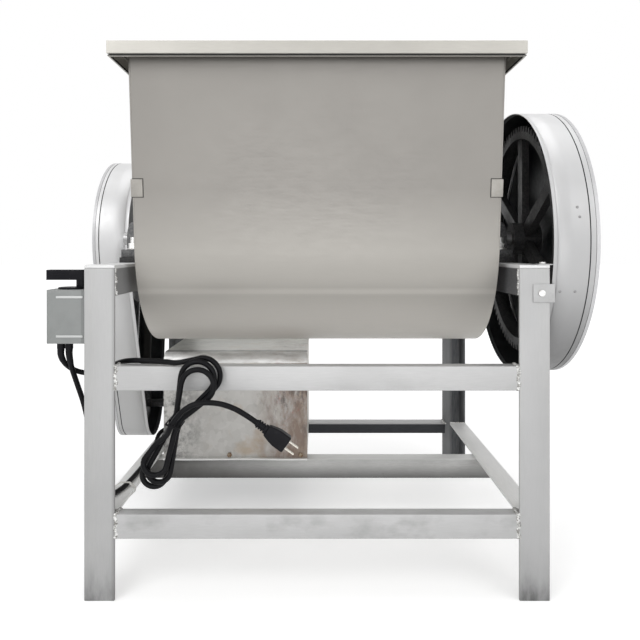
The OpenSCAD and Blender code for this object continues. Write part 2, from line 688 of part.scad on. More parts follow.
lead_route = [
    [-434, 36, 409], [-433, 37, 398], [-428, 46, 384], [-417, 58, 371], [-400, 64, 363],
    [-380, 65, 366], [-362, 58, 376], [-346, 44, 386], [-328, 28, 391], [-306, 17, 392],
    [-284, 12, 391], [-264, 8, 391], [-245, 0, 391], [-228, -6, 392]
];
tail_route = [
    [-237, -43, 284], [-229, -47, 299], [-219, -49, 314], [-206, -50, 327], [-190, -48, 335],
    [-170, -44, 336], [-150, -38, 332], [-130, -32, 323], [-113, -28, 312], [-97, -25, 300]
];
cable_end = [-cover_left, 400, 172];
cable_route = [
    [-420, 36, 409], [-420, 37, 397], [-417, 43, 376], [-411, 52, 346], [-402, 59, 310],
    [-395, 63, 262], [-391, 64, 210], [-390, 68, 168], [-384, 80, 146], [-372, 100, 136],
    [-362, 130, 134], [-358, 180, 134], [-357, 240, 134], [-356, 300, 134], [-353, 350, 138],
    [-349, 382, 150], [-345, 396, 164], [-338, 400, 172], [-329, 400, 172]
];
lead_cuts = 2;

// The spare cord is folded into a hank that hangs in front of the upper front rail
hank_mid = [-226, -9, 300];
hank_lean = 23;
hank_top_len = 108;
hank_low_len = 112;
hank_top_step = 7;
hank_low_step = 13;
hank_top_r = 30;
hank_low_r = 22;
hank_r_step = 1;
hank_pitch = 10.4;
hank_waist = 6;
waist_reach = 12;
hank_turns = 3;
lobe_cuts = 8;
run_cuts = 3;
function mix(p, q, t) = p + (q - p) * t;
function lobe_arc(r, c, wide) = [for (i = [0 : lobe_cuts]) let (t = wide * (2 * i / lobe_cuts - 1))
    [r * sin(t), c + r * cos(t)]];
function lobe(r, len) = let (c = len - r, wide = half_turn / 2 + asin((r - hank_waist) / (c - waist_reach)),
    bow = lobe_arc(r, c, wide), from = [-hank_waist, waist_reach], to = [hank_waist, waist_reach])
    concat([from], [for (i = [1 : run_cuts]) mix(from, bow[0], i / (run_cuts + 1))], bow,
        [for (i = [1 : run_cuts]) mix(bow[lobe_cuts], to, i / (run_cuts + 1))],
        [to, [hank_waist, 0]]);
function hank_turn(k) = concat(lobe(hank_top_r - hank_r_step * k, hank_top_len - hank_top_step * k),
    -1 * lobe(hank_low_r - hank_r_step * k, hank_low_len - hank_low_step * k));
function leaned(p) = [p.x * cos(hank_lean) + p.z * sin(hank_lean), p.y,
    p.z * cos(hank_lean) - p.x * sin(hank_lean)];
hank_flat = [for (k = [0 : hank_turns - 1]) each hank_turn(k)];
turn_points = len(hank_flat) / hank_turns;
hank_first = run_cuts + 3;
hank_last = len(hank_flat) - 4;
hank_points = [for (i = [hank_first : hank_last]) let (p = hank_flat[i])
    hank_mid + leaned([p.x, -hank_pitch * (i - hank_first) / turn_points, p.y])];
lead_points = concat(smooth(lead_route, lead_cuts), [hank_points[0]]);
tail_points = concat([hank_points[len(hank_points) - 1]], smooth(tail_route, lead_cuts));
function path_len(p) = [for (i = [0 : len(p) - 2]) norm(p[i + 1] - p[i])] * [for (i = [0 : len(p) - 2]) 1];
function gap_of(p, skip) = min([for (i = [0 : len(p) - 1], j = [i + skip : 1 : len(p) - 1])
    norm(p[i] - p[j])]) - cord_dia;
echo(hank_gap = gap_of(hank_points, 4));
echo(cord_length = path_len(lead_points) + path_len(hank_points) + path_len(tail_points));

module cord_lead() machine() color(black) tube(lead_points, cord_dia, 8);
module cord_hank() machine() color(black) tube(hank_points, cord_dia, 6);
module cord_tail() machine() color(black) tube(tail_points, cord_dia, 8);
module motor_cable() machine() color(black) tube(smooth(cable_route, lead_cuts),
    motor_cable_dia, 8);

// Wire tie drawn tight round the waist of the hank
tie_t = 1.5;
tie_h = 3;
tie_bite = 0.3;
tie_back = 1.6;
tie_front = 42;
tie_x = hank_waist + cord_dia / 2 - tie_bite;
module cord_tie() machine() color(black) translate([hank_mid.x, hank_mid.y, hank_mid.z])
    rotate([0, hank_lean, 0]) difference() {
        box(-tie_x - tie_t, tie_x + tie_t, -tie_front - tie_t, tie_back + tie_t,
            -tie_h / 2, tie_h / 2);
        box(-tie_x, tie_x, -tie_front, tie_back, -tie_h, tie_h);
    }

// White tie that holds the motor cable on the lower left rail
band_w = 4;
band_y = 150;
band_bulge = 7;
band_mid_x = -360;
function band_loop(g) = let (low = side_rail_top - side_rail_w, slant = tan(half_turn / 8),
    left = -half_w, right = left + side_rail_w, top = side_rail_top + motor_cable_dia + fit) [
        [left - g, low - g], [left + iron_t + slant * g, low - g],
        [right + g, cover_z - slant * g], [right + g, side_rail_top + g],
        [band_mid_x + band_bulge + g, top + g], [band_mid_x - band_bulge - g, top + g],
        [left - g, side_rail_top + g]];
module cable_tie() machine() color("white") translate([0, band_y + band_w, 0]) rotate([90, 0, 0])
    linear_extrude(band_w) difference() {
        polygon(band_loop(fit + tie_t));
        polygon(band_loop(fit));
    }

// Moulded plug with two flat blades
plug_dip = 36;
plug_neck = 20;
plug_len = 40;
plug_w = 30;
plug_t = 20;
plug_nose = 20;
blade_len = 18;
blade_w = 6.5;
blade_t = 1.6;
blade_gap = 12.7;
plug_at = tail_route[len(tail_route) - 1];
module plug_place() machine() translate([plug_at.x, plug_at.y, plug_at.z])
    rotate([0, plug_dip, 0]) children();
module plug_body() color(black) plug_place() {
    rod_x(0, plug_neck, cord_dia + 2 * tie_h);
    translate([plug_neck, 0, 0]) rotate([90, 0, 0]) translate([0, 0, -plug_t / 2])
        linear_extrude(plug_t) polygon([[0, -plug_nose / 2], [plug_len / 3, -plug_w / 2],
            [plug_len, -plug_w / 2], [plug_len, plug_w / 2], [plug_len / 3, plug_w / 2],
            [0, plug_nose / 2]]);
}
module plug_blades() color(zinc) plug_place() {
    for (side = [-1, 1]) translate([plug_neck + plug_len, 0, side * blade_gap / 2])
        box(0, blade_len, -blade_w / 2, blade_w / 2, -blade_t / 2, blade_t / 2);
}

// Trough: a U of thin sheet whose walls lean out a little above the shaft
top_at = [trough_top_half_d, trough_rise];
function wall_foot(r, p) = let (a = atan2(p.y, p.x) - acos(r / norm(p))) r * [cos(a), sin(a)];
module trough_outline(inset, extra) {
    p = [trough_top_half_d - inset, trough_rise];
    f = wall_foot(trough_r - inset, p);
    q = p + extra * unit(p - f);
    a = atan2(f.y, f.x);
    translate(main_at) polygon(concat([[-q.x, q.y], q], arc([0, 0], trough_r - inset, a, -half_turn - a)));
}
rim_z = shaft_z + trough_rise;
module trough_shell() machine() color(stainless)
    along_x(end_plate_t - trough_half_len, trough_half_len - end_plate_t) difference() {
        trough_outline(0, 0);
        trough_outline(sheet_t, over);
    }
bush_r = 30;
bush_w = 12;
module trough_end(side) machine() color(stainless) difference() {
    x = side * trough_half_len;
    along_x(min(x, x - side * end_plate_t), max(x, x - side * end_plate_t)) trough_outline(0, 0);
    translate([0, shaft_y, shaft_z]) rod_x(x - 2 * end_plate_t, x + 2 * end_plate_t, 2 * bush_r - 2 * over);
}
module trough_end_left() trough_end(-1);
module trough_end_right() trough_end(1);
// Rim: a flat flange round the mouth with a lip turned down along its edge
module trough_rim() machine() color(stainless) {
    in_x = trough_half_len - end_plate_t;
    in_y = trough_top_half_d - sheet_t;
    difference() {
        box(-rim_half_len, rim_half_len, shaft_y - rim_half_d, shaft_y + rim_half_d,
            rim_z, rim_z + sheet_t);
        box(-in_x, in_x, shaft_y - in_y, shaft_y + in_y, rim_z - over, rim_z + sheet_t + over);
    }
    difference() {
        box(-rim_half_len, rim_half_len, shaft_y - rim_half_d, shaft_y + rim_half_d,
            rim_z + sheet_t - lip_h, rim_z);
        box(-rim_half_len + sheet_t, rim_half_len - sheet_t, shaft_y - rim_half_d + sheet_t,
            shaft_y + rim_half_d - sheet_t, rim_z - lip_h - over, rim_z + over);
    }
}
// Bushes in the end plates: the trough hangs on the mixing shaft and tips about it
module trough_bushes() machine() color(zinc) translate([0, shaft_y, shaft_z])
    for (side = [-1, 1]) difference() {
        union() {
            x = side * trough_half_len;
            rod_x(min(x, x - side * end_plate_t), max(x, x - side * end_plate_t),
                2 * bush_r - 2 * over);
            rod_x(min(x - side * end_plate_t, x - side * (end_plate_t + bush_w)),
                max(x - side * end_plate_t, x - side * (end_plate_t + bush_w)), 2 * bush_r);
        }
        rod_x(-half_w, half_w, shaft_dia + 2 * run_fit);
    }
// Folded clips over the front corners of the trough
clip_w = 18;
clip_h = 30;
clip_z = 666;
clip_back = 14;
wall_lean = atan2(top_at.x - wall_foot(trough_r, top_at).x, top_at.y - wall_foot(trough_r, top_at).y);
clip_y = shaft_y - wall_foot(trough_r, top_at).x
    - (clip_z - shaft_z - wall_foot(trough_r, top_at).y) * tan(wall_lean);
module corner_clips() machine() color(stainless) for (side = [-1, 1])
    translate([side * trough_half_len, clip_y, clip_z]) mirror([side > 0 ? 1 : 0, 0, 0])
        rotate([wall_lean, 0, 0]) {
            box(-tab_t, clip_w, -tab_t, 0, 0, clip_h);
            box(-tab_t, 0, 0, clip_back, 0, clip_h);
        }

leg_front_left();
leg_front_right();
leg_back_left();
leg_back_right();
top_rail_left();
top_rail_right();
low_rail_left();
low_rail_right();
front_mid_rail();
front_low_rail();
motor_rail();
back_low_rail();
back_mid_rail();
bearing_plates();
main_bearing_left();
main_bearing_right();
gear_bearing_left();
gear_bearing_right();
bearing_bolts();
gear_guard_band();
gear_guard_cap();
belt_guard_band();
belt_guard_cap();
guard_tabs();
guard_screws();
motor_body();
motor_fan_cover();
motor_feet();
motor_cover();
cover_cleats();
cover_screws();
drive_belt();
switch_box();
switch_lid();
switch_boss();
cable_glands();
motor_cable();
cable_tie();
cord_lead();
cord_hank();
cord_tail();
cord_tie();
plug_body();
plug_blades();
trough_shell();
trough_end_left();
trough_end_right();
trough_rim();
trough_bushes();
corner_clips();
mixing_shaft();
kneading_arms();
main_gear();
shaft_collars();
gear_shaft();
pinion();
big_pulley();
motor_shaft();
small_pulley();
switch_handle();
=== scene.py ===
"""Horizontal dough mixer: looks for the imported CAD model."""
import math

import bpy
from mathutils import Matrix, Vector


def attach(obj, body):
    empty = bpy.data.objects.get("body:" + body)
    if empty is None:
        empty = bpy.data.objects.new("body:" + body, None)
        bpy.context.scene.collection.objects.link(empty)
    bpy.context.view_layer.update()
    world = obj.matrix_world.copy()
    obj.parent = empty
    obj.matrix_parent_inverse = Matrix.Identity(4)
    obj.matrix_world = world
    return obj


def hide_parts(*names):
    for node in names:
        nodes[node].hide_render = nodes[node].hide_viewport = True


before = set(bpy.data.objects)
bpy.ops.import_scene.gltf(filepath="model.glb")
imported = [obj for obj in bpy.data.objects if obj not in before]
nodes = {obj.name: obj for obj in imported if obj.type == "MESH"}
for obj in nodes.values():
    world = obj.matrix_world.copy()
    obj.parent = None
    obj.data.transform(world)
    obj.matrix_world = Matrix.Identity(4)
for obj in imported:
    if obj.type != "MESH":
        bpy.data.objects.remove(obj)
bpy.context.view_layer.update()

# Camera. It stands a good metre in front of the legs, about as high as the shafts, and looks level
# along +Y; the shift puts the machine where the photograph has it.
camera_data = bpy.data.cameras.new("camera")
camera = bpy.data.objects.new("camera", camera_data)
bpy.context.scene.collection.objects.link(camera)
camera.location = (0.009, -1.387, 0.579)
camera.rotation_euler = (math.pi / 2, 0, 0)
camera_data.lens = 36
camera_data.sensor_width = 36
camera_data.shift_x = 0.0047
camera_data.shift_y = -0.1125
bpy.context.scene.camera = camera

# Mains cord. Black rubber-sheathed cable, 9 mm thick: out of the switch box's left gland, over the
# upper front rail, folded into a hank with a tie round its waist, and on to a moulded plug.


def row(x, y, z):
    """A point in millimetres from the middle of the legs' front, as one of the shared frame."""
    return Vector(((x + 9) / 1000, (y - 338) / 1000, z / 1000))


def rounded(points, cuts):
    """A smooth line through the points, each span cut into equal steps."""
    line = []
    for i in range(len(points) - 1):
        a, b = points[max(i - 1, 0)], points[i]
        c, d = points[i + 1], points[min(i + 2, len(points) - 1)]
        for k in range(cuts):
            t = k / cuts
            line.append(0.5 * (2 * b + (c - a) * t + (2 * a - 5 * b + 4 * c - d) * t ** 2
                               + (3 * b - a - 3 * c + d) * t ** 3))
    return line + [points[-1]]


def hank_lobe(bend, reach, sign, swing):
    """One half of a turn: out from the waist, round the bend and back, swung a few degrees."""
    waist, waist_reach = 6, 12
    centre = reach - bend
    wide = math.radians(90) + math.asin((bend - waist) / (centre - waist_reach))
    bow = [Vector((bend * math.sin(wide * (i / 4 - 1)),
                   centre + bend * math.cos(wide * (i / 4 - 1)))) for i in range(9)]
    start, end = Vector((-waist, waist_reach)), Vector((waist, waist_reach))
    points = [start] + [start.lerp(bow[0], i / 4) for i in (1, 2, 3)] + bow
    points += [bow[-1].lerp(end, i / 4) for i in (1, 2, 3)] + [end, Vector((waist, 0))]
    sway = Matrix.Rotation(math.radians(swing), 2)
    return [sign * (sway @ p) for p in points]


hank_flat = []
for up_bend, up_reach, up_swing, low_bend, low_reach, low_swing in (
        (29, 111, -6, 19, 114, 0), (27, 104, -3, 18, 100, 4), (26, 95, -8, 18, 88, -3)):
    hank_flat += hank_lobe(up_bend, up_reach, 1, up_swing)
    hank_flat += hank_lobe(low_bend, low_reach, -1, low_swing)
waist_x, waist_y, waist_z = -226, -9, 300
lean, turn_points, turn_pitch = math.radians(23), 36, 10.4
hank = []
for i, (across, along) in enumerate(hank_flat[6:-3]):
    hank.append(Vector((waist_x + across * math.cos(lean) + along * math.sin(lean),
                        waist_y - turn_pitch * i / turn_points,
                        waist_z + along * math.cos(lean) - across * math.sin(lean))))
lead = [(-434, 36, 409), (-434, 36.5, 397), (-430, 44, 382), (-419, 55, 369), (-401, 63, 362),
        (-380, 65, 363), (-360, 59, 371), (-343, 46, 381), (-325, 31, 388), (-305, 19, 391.5),
        (-284, 12, 392), (-264, 7, 392), (-245, 1, 392), (-228, -6, 392)]
tail = [(-237, -43, 284), (-229, -47, 299), (-219, -49, 314), (-206, -50, 327), (-190, -48, 335),
        (-170, -44, 336), (-150, -38, 332), (-130, -32, 323), (-113, -28, 312), (-97, -25, 300)]
cord_route = rounded([Vector(p) for p in lead] + hank + [Vector(p) for p in tail], 4)


def cable(name, points, thickness):
    """A round cable along the points, as a curve."""
    data = bpy.data.curves.new(name, "CURVE")
    data.dimensions = "3D"
    data.bevel_depth = thickness / 2
    data.bevel_resolution = 4
    data.use_fill_caps = True
    spline = data.splines.new("POLY")
    spline.points.add(len(points) - 1)
    for point, place in zip(spline.points, points):
        point.co = (*row(*place), 1)
    spline.use_smooth = True
    made = bpy.data.objects.new(name, data)
    bpy.context.scene.collection.objects.link(made)
    return made


def add_node(tree, kind, sockets=(), **settings):
    """A shader node with its settings made and its sockets set or joined."""
    made = tree.nodes.new("ShaderNode" + kind)
    for key, value in settings.items():
        setattr(made, key, value)
    for key, value in dict(sockets).items():
        if isinstance(value, bpy.types.NodeSocket):
            tree.links.new(value, made.inputs[key])
        else:
            made.inputs[key].default_value = value
    return made


def new_finish(name, colour, rough, metal=0.0):
    """A new material with its even colour, roughness and metal set, its tree and its shader."""
    made = bpy.data.materials.new(name)
    made.use_nodes = True
    shader = made.node_tree.nodes["Principled BSDF"]
    shader.inputs["Base Color"].default_value = (*colour, 1)
    shader.inputs["Roughness"].default_value = rough
    shader.inputs["Metallic"].default_value = metal
    return made, made.node_tree, shader


def noise(tree, scale, detail=4.0, rough=0.55, stretch=(1, 1, 1), place=(0, 0, 0)):
    """Noise on object coordinates; a small stretch number draws it out along that axis."""
    where = add_node(tree, "TexCoord").outputs["Object"]
    where = add_node(tree, "Mapping", {"Vector": where, "Scale": stretch,
                                       "Location": place}).outputs["Vector"]
    return add_node(tree, "TexNoise", {"Vector": where, "Scale": scale, "Detail": detail,
                                       "Roughness": rough}).outputs["Fac"]


def between(tree, value, low, high, to_low=0.0, to_high=1.0):
    """The value from low to high, brought to the range from to_low to to_high and kept in it."""
    return add_node(tree, "MapRange", {"Value": value, "From Min": low, "From Max": high,
                                       "To Min": to_low, "To Max": to_high}).outputs["Result"]


def mixed(tree, share, first, second):
    """A mix of two colours, each a colour socket or three numbers."""
    made = add_node(tree, "Mix", data_type="RGBA")
    for index, value in ((0, share), (6, first), (7, second)):
        if isinstance(value, bpy.types.NodeSocket):
            tree.links.new(value, made.inputs[index])
        else:
            made.inputs[index].default_value = value if index == 0 else (*value, 1)
    return made.outputs[2]


def raised(tree, shader, height, depth, strength):
    """Fine relief of that depth, in metres, from a height between 0 and 1."""
    bump = add_node(tree, "Bump", {"Height": height, "Distance": depth, "Strength": strength})
    tree.links.new(bump.outputs["Normal"], shader.inputs["Normal"])


def wear(name, finish):
    """The finish on a CAD node, in every slot that it has."""
    data = nodes[name].data
    data.materials.clear()
    data.materials.append(finish)


cable_rubber, tree, shader = new_finish("cable_rubber", (0.005, 0.005, 0.006), 0.38)
shader.inputs["Specular IOR Level"].default_value = 0.12
grain = noise(tree, 900, 3)
dust = between(tree, noise(tree, 60, 4), 0.45, 0.75)
tree.links.new(mixed(tree, dust, (0.003, 0.003, 0.004), (0.007, 0.007, 0.008)),
               shader.inputs["Base Color"])
tree.links.new(between(tree, grain, 0.3, 0.7, 0.36, 0.52), shader.inputs["Roughness"])
raised(tree, shader, grain, 0.0003, 0.35)

cord_thick = 0.009
mains_cord = cable("mains_cord", cord_route, cord_thick)
mains_cord.data.materials.append(cable_rubber)
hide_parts("cord_lead", "cord_hank", "cord_tail")
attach(mains_cord, "frame")
wear("cord_tie", cable_rubber)

# Motor cable. The same rubber cable runs from the right gland down the back of the left leg and
# along the lower side rail, where a white nylon tie holds it, and into the motor cover's wall.
cable_route = [(-420, 36, 409), (-420, 36.5, 397), (-418, 42, 375), (-412, 51, 345),
               (-403, 58, 308), (-395, 62, 262), (-391, 64, 210), (-389, 70, 170), (-382, 84, 147),
               (-371, 104, 136), (-362, 134, 133.8), (-358, 180, 133.5), (-356.5, 240, 133.5),
               (-356, 300, 133.5), (-356, 326, 134.5), (-356, 345, 138.5), (-356, 362, 146),
               (-356, 378.4, 156), (-353.9, 386.7, 162.2), (-348.1, 393.7, 167.4),
               (-339.3, 398.4, 170.9), (-329, 400, 172)]
cable_line = rounded([Vector(p) for p in cable_route], 4)
motor_cable = cable("motor_cable_run", cable_line, cord_thick)
motor_cable.data.materials.append(cable_rubber)
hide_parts("motor_cable")
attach(motor_cable, "frame")

white_nylon, tree, shader = new_finish("white_nylon", (0.78, 0.78, 0.75), 0.4)
raised(tree, shader, noise(tree, 500, 3), 0.0002, 0.3)
tree.links.new(mixed(tree, noise(tree, 80), (0.82, 0.82, 0.8), (0.66, 0.65, 0.6)),
               shader.inputs["Base Color"])
wear("cable_tie", white_nylon)

# Plug. Moulded in one with the cord's end: a ribbed neck, a body that widens to flat cheeks, and
# nickel-plated blades pressed in when it was moulded.


def take(made):
    """Only this object selected and active."""
    bpy.ops.object.select_all(action="DESELECT")
    made.select_set(True)
    bpy.context.view_layer.objects.active = made


def settle(made, name, finish, body):
    """A finished piece: its place put into its mesh, named, given its finish, riding its body."""
    take(made)
    bpy.ops.object.transform_apply(location=True, rotation=True, scale=True)
    made.name = made.data.name = name
    made.data.materials.clear()
    made.data.materials.append(finish)
    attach(made, body)


def apply_modifiers(made):
    """The piece's modifiers, in their order, made part of its mesh."""
    take(made)
    for modifier in list(made.modifiers):
        bpy.ops.object.modifier_apply(modifier=modifier.name)


def joined(parts):
    """The parts as one object."""
    bpy.ops.object.select_all(action="DESELECT")
    for part in parts:
        part.select_set(True)
    bpy.context.view_layer.objects.active = parts[0]
    bpy.ops.object.join()
    return bpy.context.object


moulded_black, tree, shader = new_finish("moulded_black", (0.01, 0.01, 0.011), 0.5)
shader.inputs["Specular IOR Level"].default_value = 0.12
grain = noise(tree, 700, 3)
raised(tree, shader, grain, 0.0004, 0.4)
tree.links.new(between(tree, noise(tree, 45), 0.35, 0.7, 0.38, 0.6), shader.inputs["Roughness"])
tree.links.new(mixed(tree, between(tree, noise(tree, 90), 0.5, 0.8), (0.006, 0.006, 0.008),
                     (0.014, 0.014, 0.016)), shader.inputs["Base Color"])

plug_parts = []
for start, length, radius in ((0, 21, 5.6), (2.5, 2.6, 7.4), (7, 2.6, 7.4), (11.5, 2.6, 7.4),
                              (16, 4, 8)):
    bpy.ops.object.select_all(action="DESELECT")
    bpy.ops.mesh.primitive_cylinder_add(vertices=28, radius=radius / 1000, depth=length / 1000,
                                        location=((start + length / 2) / 1000, 0, 0),
                                        rotation=(0, math.pi / 2, 0))
    ring = bpy.context.object
    bevel = ring.modifiers.new("edge", "BEVEL")
    bevel.width, bevel.segments = 0.0006, 2
    apply_modifiers(ring)
    bpy.ops.object.transform_apply(location=True, rotation=True, scale=True)
    plug_parts.append(ring)
bpy.ops.object.select_all(action="DESELECT")
bpy.ops.mesh.primitive_cube_add(size=1, location=(0.04, 0, 0), scale=(0.04, 0.02, 0.0275))
cheeks = bpy.context.object
bpy.ops.object.transform_apply(location=True, rotation=True, scale=True)
bpy.ops.object.mode_set(mode="EDIT")
bpy.ops.mesh.subdivide(number_cuts=5)
bpy.ops.object.mode_set(mode="OBJECT")
for vertex in cheeks.data.vertices:
    share = (vertex.co.x - 0.02) / 0.04
    vertex.co.z *= 0.66 + 0.34 * min(1, share * 2.2)
    vertex.co.y *= 0.72 + 0.28 * min(1, share * 1.6) - 0.1 * abs(vertex.co.z / 0.015) ** 2
bevel = cheeks.modifiers.new("edge", "BEVEL")
bevel.width, bevel.segments, bevel.angle_limit = 0.0025, 3, math.radians(50)
apply_modifiers(cheeks)
plug_parts.append(cheeks)
plug = joined(plug_parts)
droop = Matrix.Rotation(math.radians(36), 4, "Y")
plug.matrix_world = Matrix.Translation(row(*tail[-1])) @ droop
settle(plug, "moulded_plug", moulded_black, "frame")
bpy.ops.object.shade_smooth_by_angle(angle=math.radians(35))
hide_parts("plug_body")

nickel, tree, shader = new_finish("nickel", (0.66, 0.64, 0.58), 0.25, 1.0)
tree.links.new(between(tree, noise(tree, 300), 0.3, 0.7, 0.18, 0.4), shader.inputs["Roughness"])
tree.links.new(mixed(tree, noise(tree, 120), (0.7, 0.68, 0.62), (0.5, 0.47, 0.4)),
               shader.inputs["Base Color"])
wear("plug_blades", nickel)

# Strain reliefs. A tapered rubber sleeve is moulded to each gland of the switch box and follows
# its cable down for about 25 mm.
sleeve_thick, sleeve_taper, sleeve_lip = 0.0124, 0.026, 0.75
reliefs = []
for route in (cord_route, cable_line):
    sleeve = cable("relief", route[:8], sleeve_thick)
    for i, point in enumerate(sleeve.data.splines[0].points):
        point.radius = 1 - sleeve_taper * i if i < 7 else sleeve_lip
    take(sleeve)
    bpy.ops.object.convert(target="MESH")
    reliefs.append(bpy.context.object)
settle(joined(reliefs), "strain_reliefs", moulded_black, "frame")
bpy.ops.object.shade_smooth_by_angle(angle=math.radians(40))
wear("cable_glands", moulded_black)

# Front legs. Hot-rolled angle iron, ground over and sprayed silver-grey; the grain of the grinding
# runs along each leg, its edges are eased a little and its foot is scuffed dark.


def times(tree, first, second):
    """One value times another."""
    made = add_node(tree, "Math", operation="MULTIPLY")
    for index, value in enumerate((first, second)):
        if isinstance(value, bpy.types.NodeSocket):
            tree.links.new(value, made.inputs[index])
        else:
            made.inputs[index].default_value = value
    return made.outputs[0]


def steel(name, light, dark, rough, stretch, metal=0.3, stain=(0.25, 0.21, 0.17), stained=0.4):
    """Ground or brushed sheet and bar: streaks along the piece, soft patches and a few stains."""
    made, tree, shader = new_finish(name, light, rough, metal)
    streaks = noise(tree, 130, 5, 0.6, stretch)
    colour = mixed(tree, between(tree, streaks, 0.3, 0.72), dark, light)
    patches = between(tree, noise(tree, 9, 3, 0.5), 0.4, 0.75, 0.0, 0.5)
    colour = mixed(tree, patches, colour, tuple(0.86 * c for c in dark))
    spots = between(tree, noise(tree, 38, 6, 0.7), 0.66, 0.8, 0.0, stained)
    colour = mixed(tree, spots, colour, stain)
    tree.links.new(colour, shader.inputs["Base Color"])
    tree.links.new(between(tree, streaks, 0.25, 0.75, rough - 0.08, rough + 0.12),
                   shader.inputs["Roughness"])
    raised(tree, shader, streaks, 0.0004, 0.2)
    return made, tree, shader, colour


def place_on(tree, axis):
    """How far along that axis of the shared frame a point lies, in metres."""
    where = add_node(tree, "TexCoord").outputs["Object"]
    return add_node(tree, "SeparateXYZ", {"Vector": where}).outputs[axis]


def eased(node, width, finish, body, steps=2):
    """A copy of a CAD node in its own place, with its sharp edges rounded off."""
    source = nodes[node]
    made = bpy.data.objects.new(node + "_eased", source.data.copy())
    bpy.context.scene.collection.objects.link(made)
    made.data.transform(source.matrix_world)
    take(made)
    bpy.ops.object.mode_set(mode="EDIT")
    bpy.ops.mesh.select_all(action="SELECT")
    bpy.ops.mesh.remove_doubles(threshold=0.00001)
    bpy.ops.mesh.dissolve_limited(angle_limit=math.radians(1))
    bpy.ops.mesh.normals_make_consistent(inside=False)
    bpy.ops.object.mode_set(mode="OBJECT")
    bevel = made.modifiers.new("edge", "BEVEL")
    bevel.width, bevel.segments = width / 1000, steps
    bevel.limit_method, bevel.angle_limit = "ANGLE", math.radians(40)
    apply_modifiers(made)
    settle(made, node + "_eased", finish, body)
    bpy.ops.object.shade_smooth_by_angle(angle=math.radians(50))
    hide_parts(node)
    return made


leg_steel, tree, shader, colour = steel("leg_steel", (0.475, 0.475, 0.472), (0.42, 0.42, 0.418),
                                        0.5, (6, 6, 0.35))
tone = between(tree, noise(tree, 34, 2, 0.4, (1, 1, 0.02)), 0.35, 0.65, 0.0, 0.3)
colour = mixed(tree, tone, colour, (0.45, 0.45, 0.46))
low = between(tree, place_on(tree, "Z"), 0.0, 0.11, 1.0, 0.0)
low = times(tree, low, between(tree, noise(tree, 35, 5, 0.6, (1, 1, 0.3)), 0.3, 0.65, 0.35, 1.0))
colour = mixed(tree, times(tree, low, low), colour, (0.12, 0.12, 0.12))
# Painted shade: a dark band down the inner edge of the left leg.
edge = times(tree, between(tree, place_on(tree, "X"), -0.3285, -0.3245, 0.0, 0.5),
             between(tree, place_on(tree, "X"), -0.2, -0.25))
colour = mixed(tree, edge, colour, (0.2, 0.2, 0.2))
tree.links.new(colour, shader.inputs["Base Color"])
for side in ("left", "right"):
    eased("leg_front_" + side, 1.2, leg_steel, "frame")

# Front rails. Rectangular tube welded between the front legs, sprayed like them, a little duller
# at the right end; the lower one is rubbed and blotched.
cross_steel, tree, shader, colour = steel("cross_rail_steel", (0.54, 0.54, 0.54),
                                          (0.48, 0.48, 0.48), 0.45, (0.35, 6, 6))
ends = between(tree, place_on(tree, "X"), 0.24, 0.34, 0.0, 0.35)
colour = mixed(tree, ends, colour, (0.42, 0.42, 0.42))
rubbed = between(tree, noise(tree, 13, 5, 0.6, (0.6, 1, 1), (2, 0, 6)), 0.5, 0.66, 0.0, 0.55)
rubbed = times(tree, rubbed, between(tree, place_on(tree, "Z"), 0.15, 0.13, 0.25, 1.0))
tree.links.new(mixed(tree, rubbed, colour, (0.24, 0.24, 0.235)), shader.inputs["Base Color"])
for name in ("front_mid_rail", "front_low_rail"):
    eased(name, 2.2, cross_steel, "frame", 3)

# Low side rails. Angle iron welded from the front leg to the back leg on each side and sprayed,
# its colour raised almost to white as painted light on these low, weakly lit rails; the left one
# carries the motor cable.
lit_side_steel = steel("side_rail_painted_light", (0.97, 0.97, 0.96), (0.88, 0.88, 0.87), 0.5, (6, 0.35, 6),
                   0.1)[0]
for side in ("left", "right"):
    eased("low_rail_" + side, 1.0, lit_side_steel, "frame")

# Top rails. Angle iron welded to the legs' tops; its flat top carries the bearings. The side that
# faces the trough is painted dark as painted shade, lighter on the left rail as painted light, and
# the flat top is painted light as a painted highlight.
top_rail_lit_and_shaded, tree, shader, colour = steel("top_rail_lit_and_shaded", (0.15, 0.15, 0.155),
                                           (0.075, 0.077, 0.08), 0.5, (5, 0.5, 5))
painted_highlight = between(tree, place_on(tree, "Z"), 0.5445, 0.5462)
left = between(tree, place_on(tree, "X"), 0.0, -0.3, 0.0, 0.6)
colour = mixed(tree, left, colour, (0.36, 0.36, 0.36))
tree.links.new(mixed(tree, painted_highlight, colour, (0.72, 0.72, 0.72)), shader.inputs["Base Color"])
for side in ("left", "right"):
    eased("top_rail_" + side, 1.0, top_rail_lit_and_shaded, "frame")

# Back legs and rails. Angle and tube welded as in front, painted dark as painted shade, darkest on
# the right back leg's outer part; the lower rail's front is painted near black as painted shade
# and its top light as a painted highlight.
back_steel_painted_shade, tree, shader, colour = steel("back_steel_painted_shade", (0.15, 0.155, 0.16), (0.055, 0.058, 0.063),
                                         0.45, (2, 2, 0.25))
near = between(tree, place_on(tree, "X"), 0.358, 0.368, 0.5, 0.0)
tree.links.new(mixed(tree, near, colour, (0.34, 0.345, 0.35)), shader.inputs["Base Color"])
for side in ("left", "right"):
    eased("leg_back_" + side, 1.2, back_steel_painted_shade, "frame")
back_rail_painted_shade, tree, shader, colour = steel("back_rail_painted_shade", (0.035, 0.037, 0.042),
                                          (0.018, 0.02, 0.024), 0.5, (0.5, 4, 4), stained=0.1)
painted_highlight = between(tree, place_on(tree, "Z"), 0.1215, 0.1235)
tree.links.new(mixed(tree, painted_highlight, colour, (0.46, 0.46, 0.46)), shader.inputs["Base Color"])
eased("back_low_rail", 1.0, back_rail_painted_shade, "frame")
wear("back_mid_rail", back_steel_painted_shade)
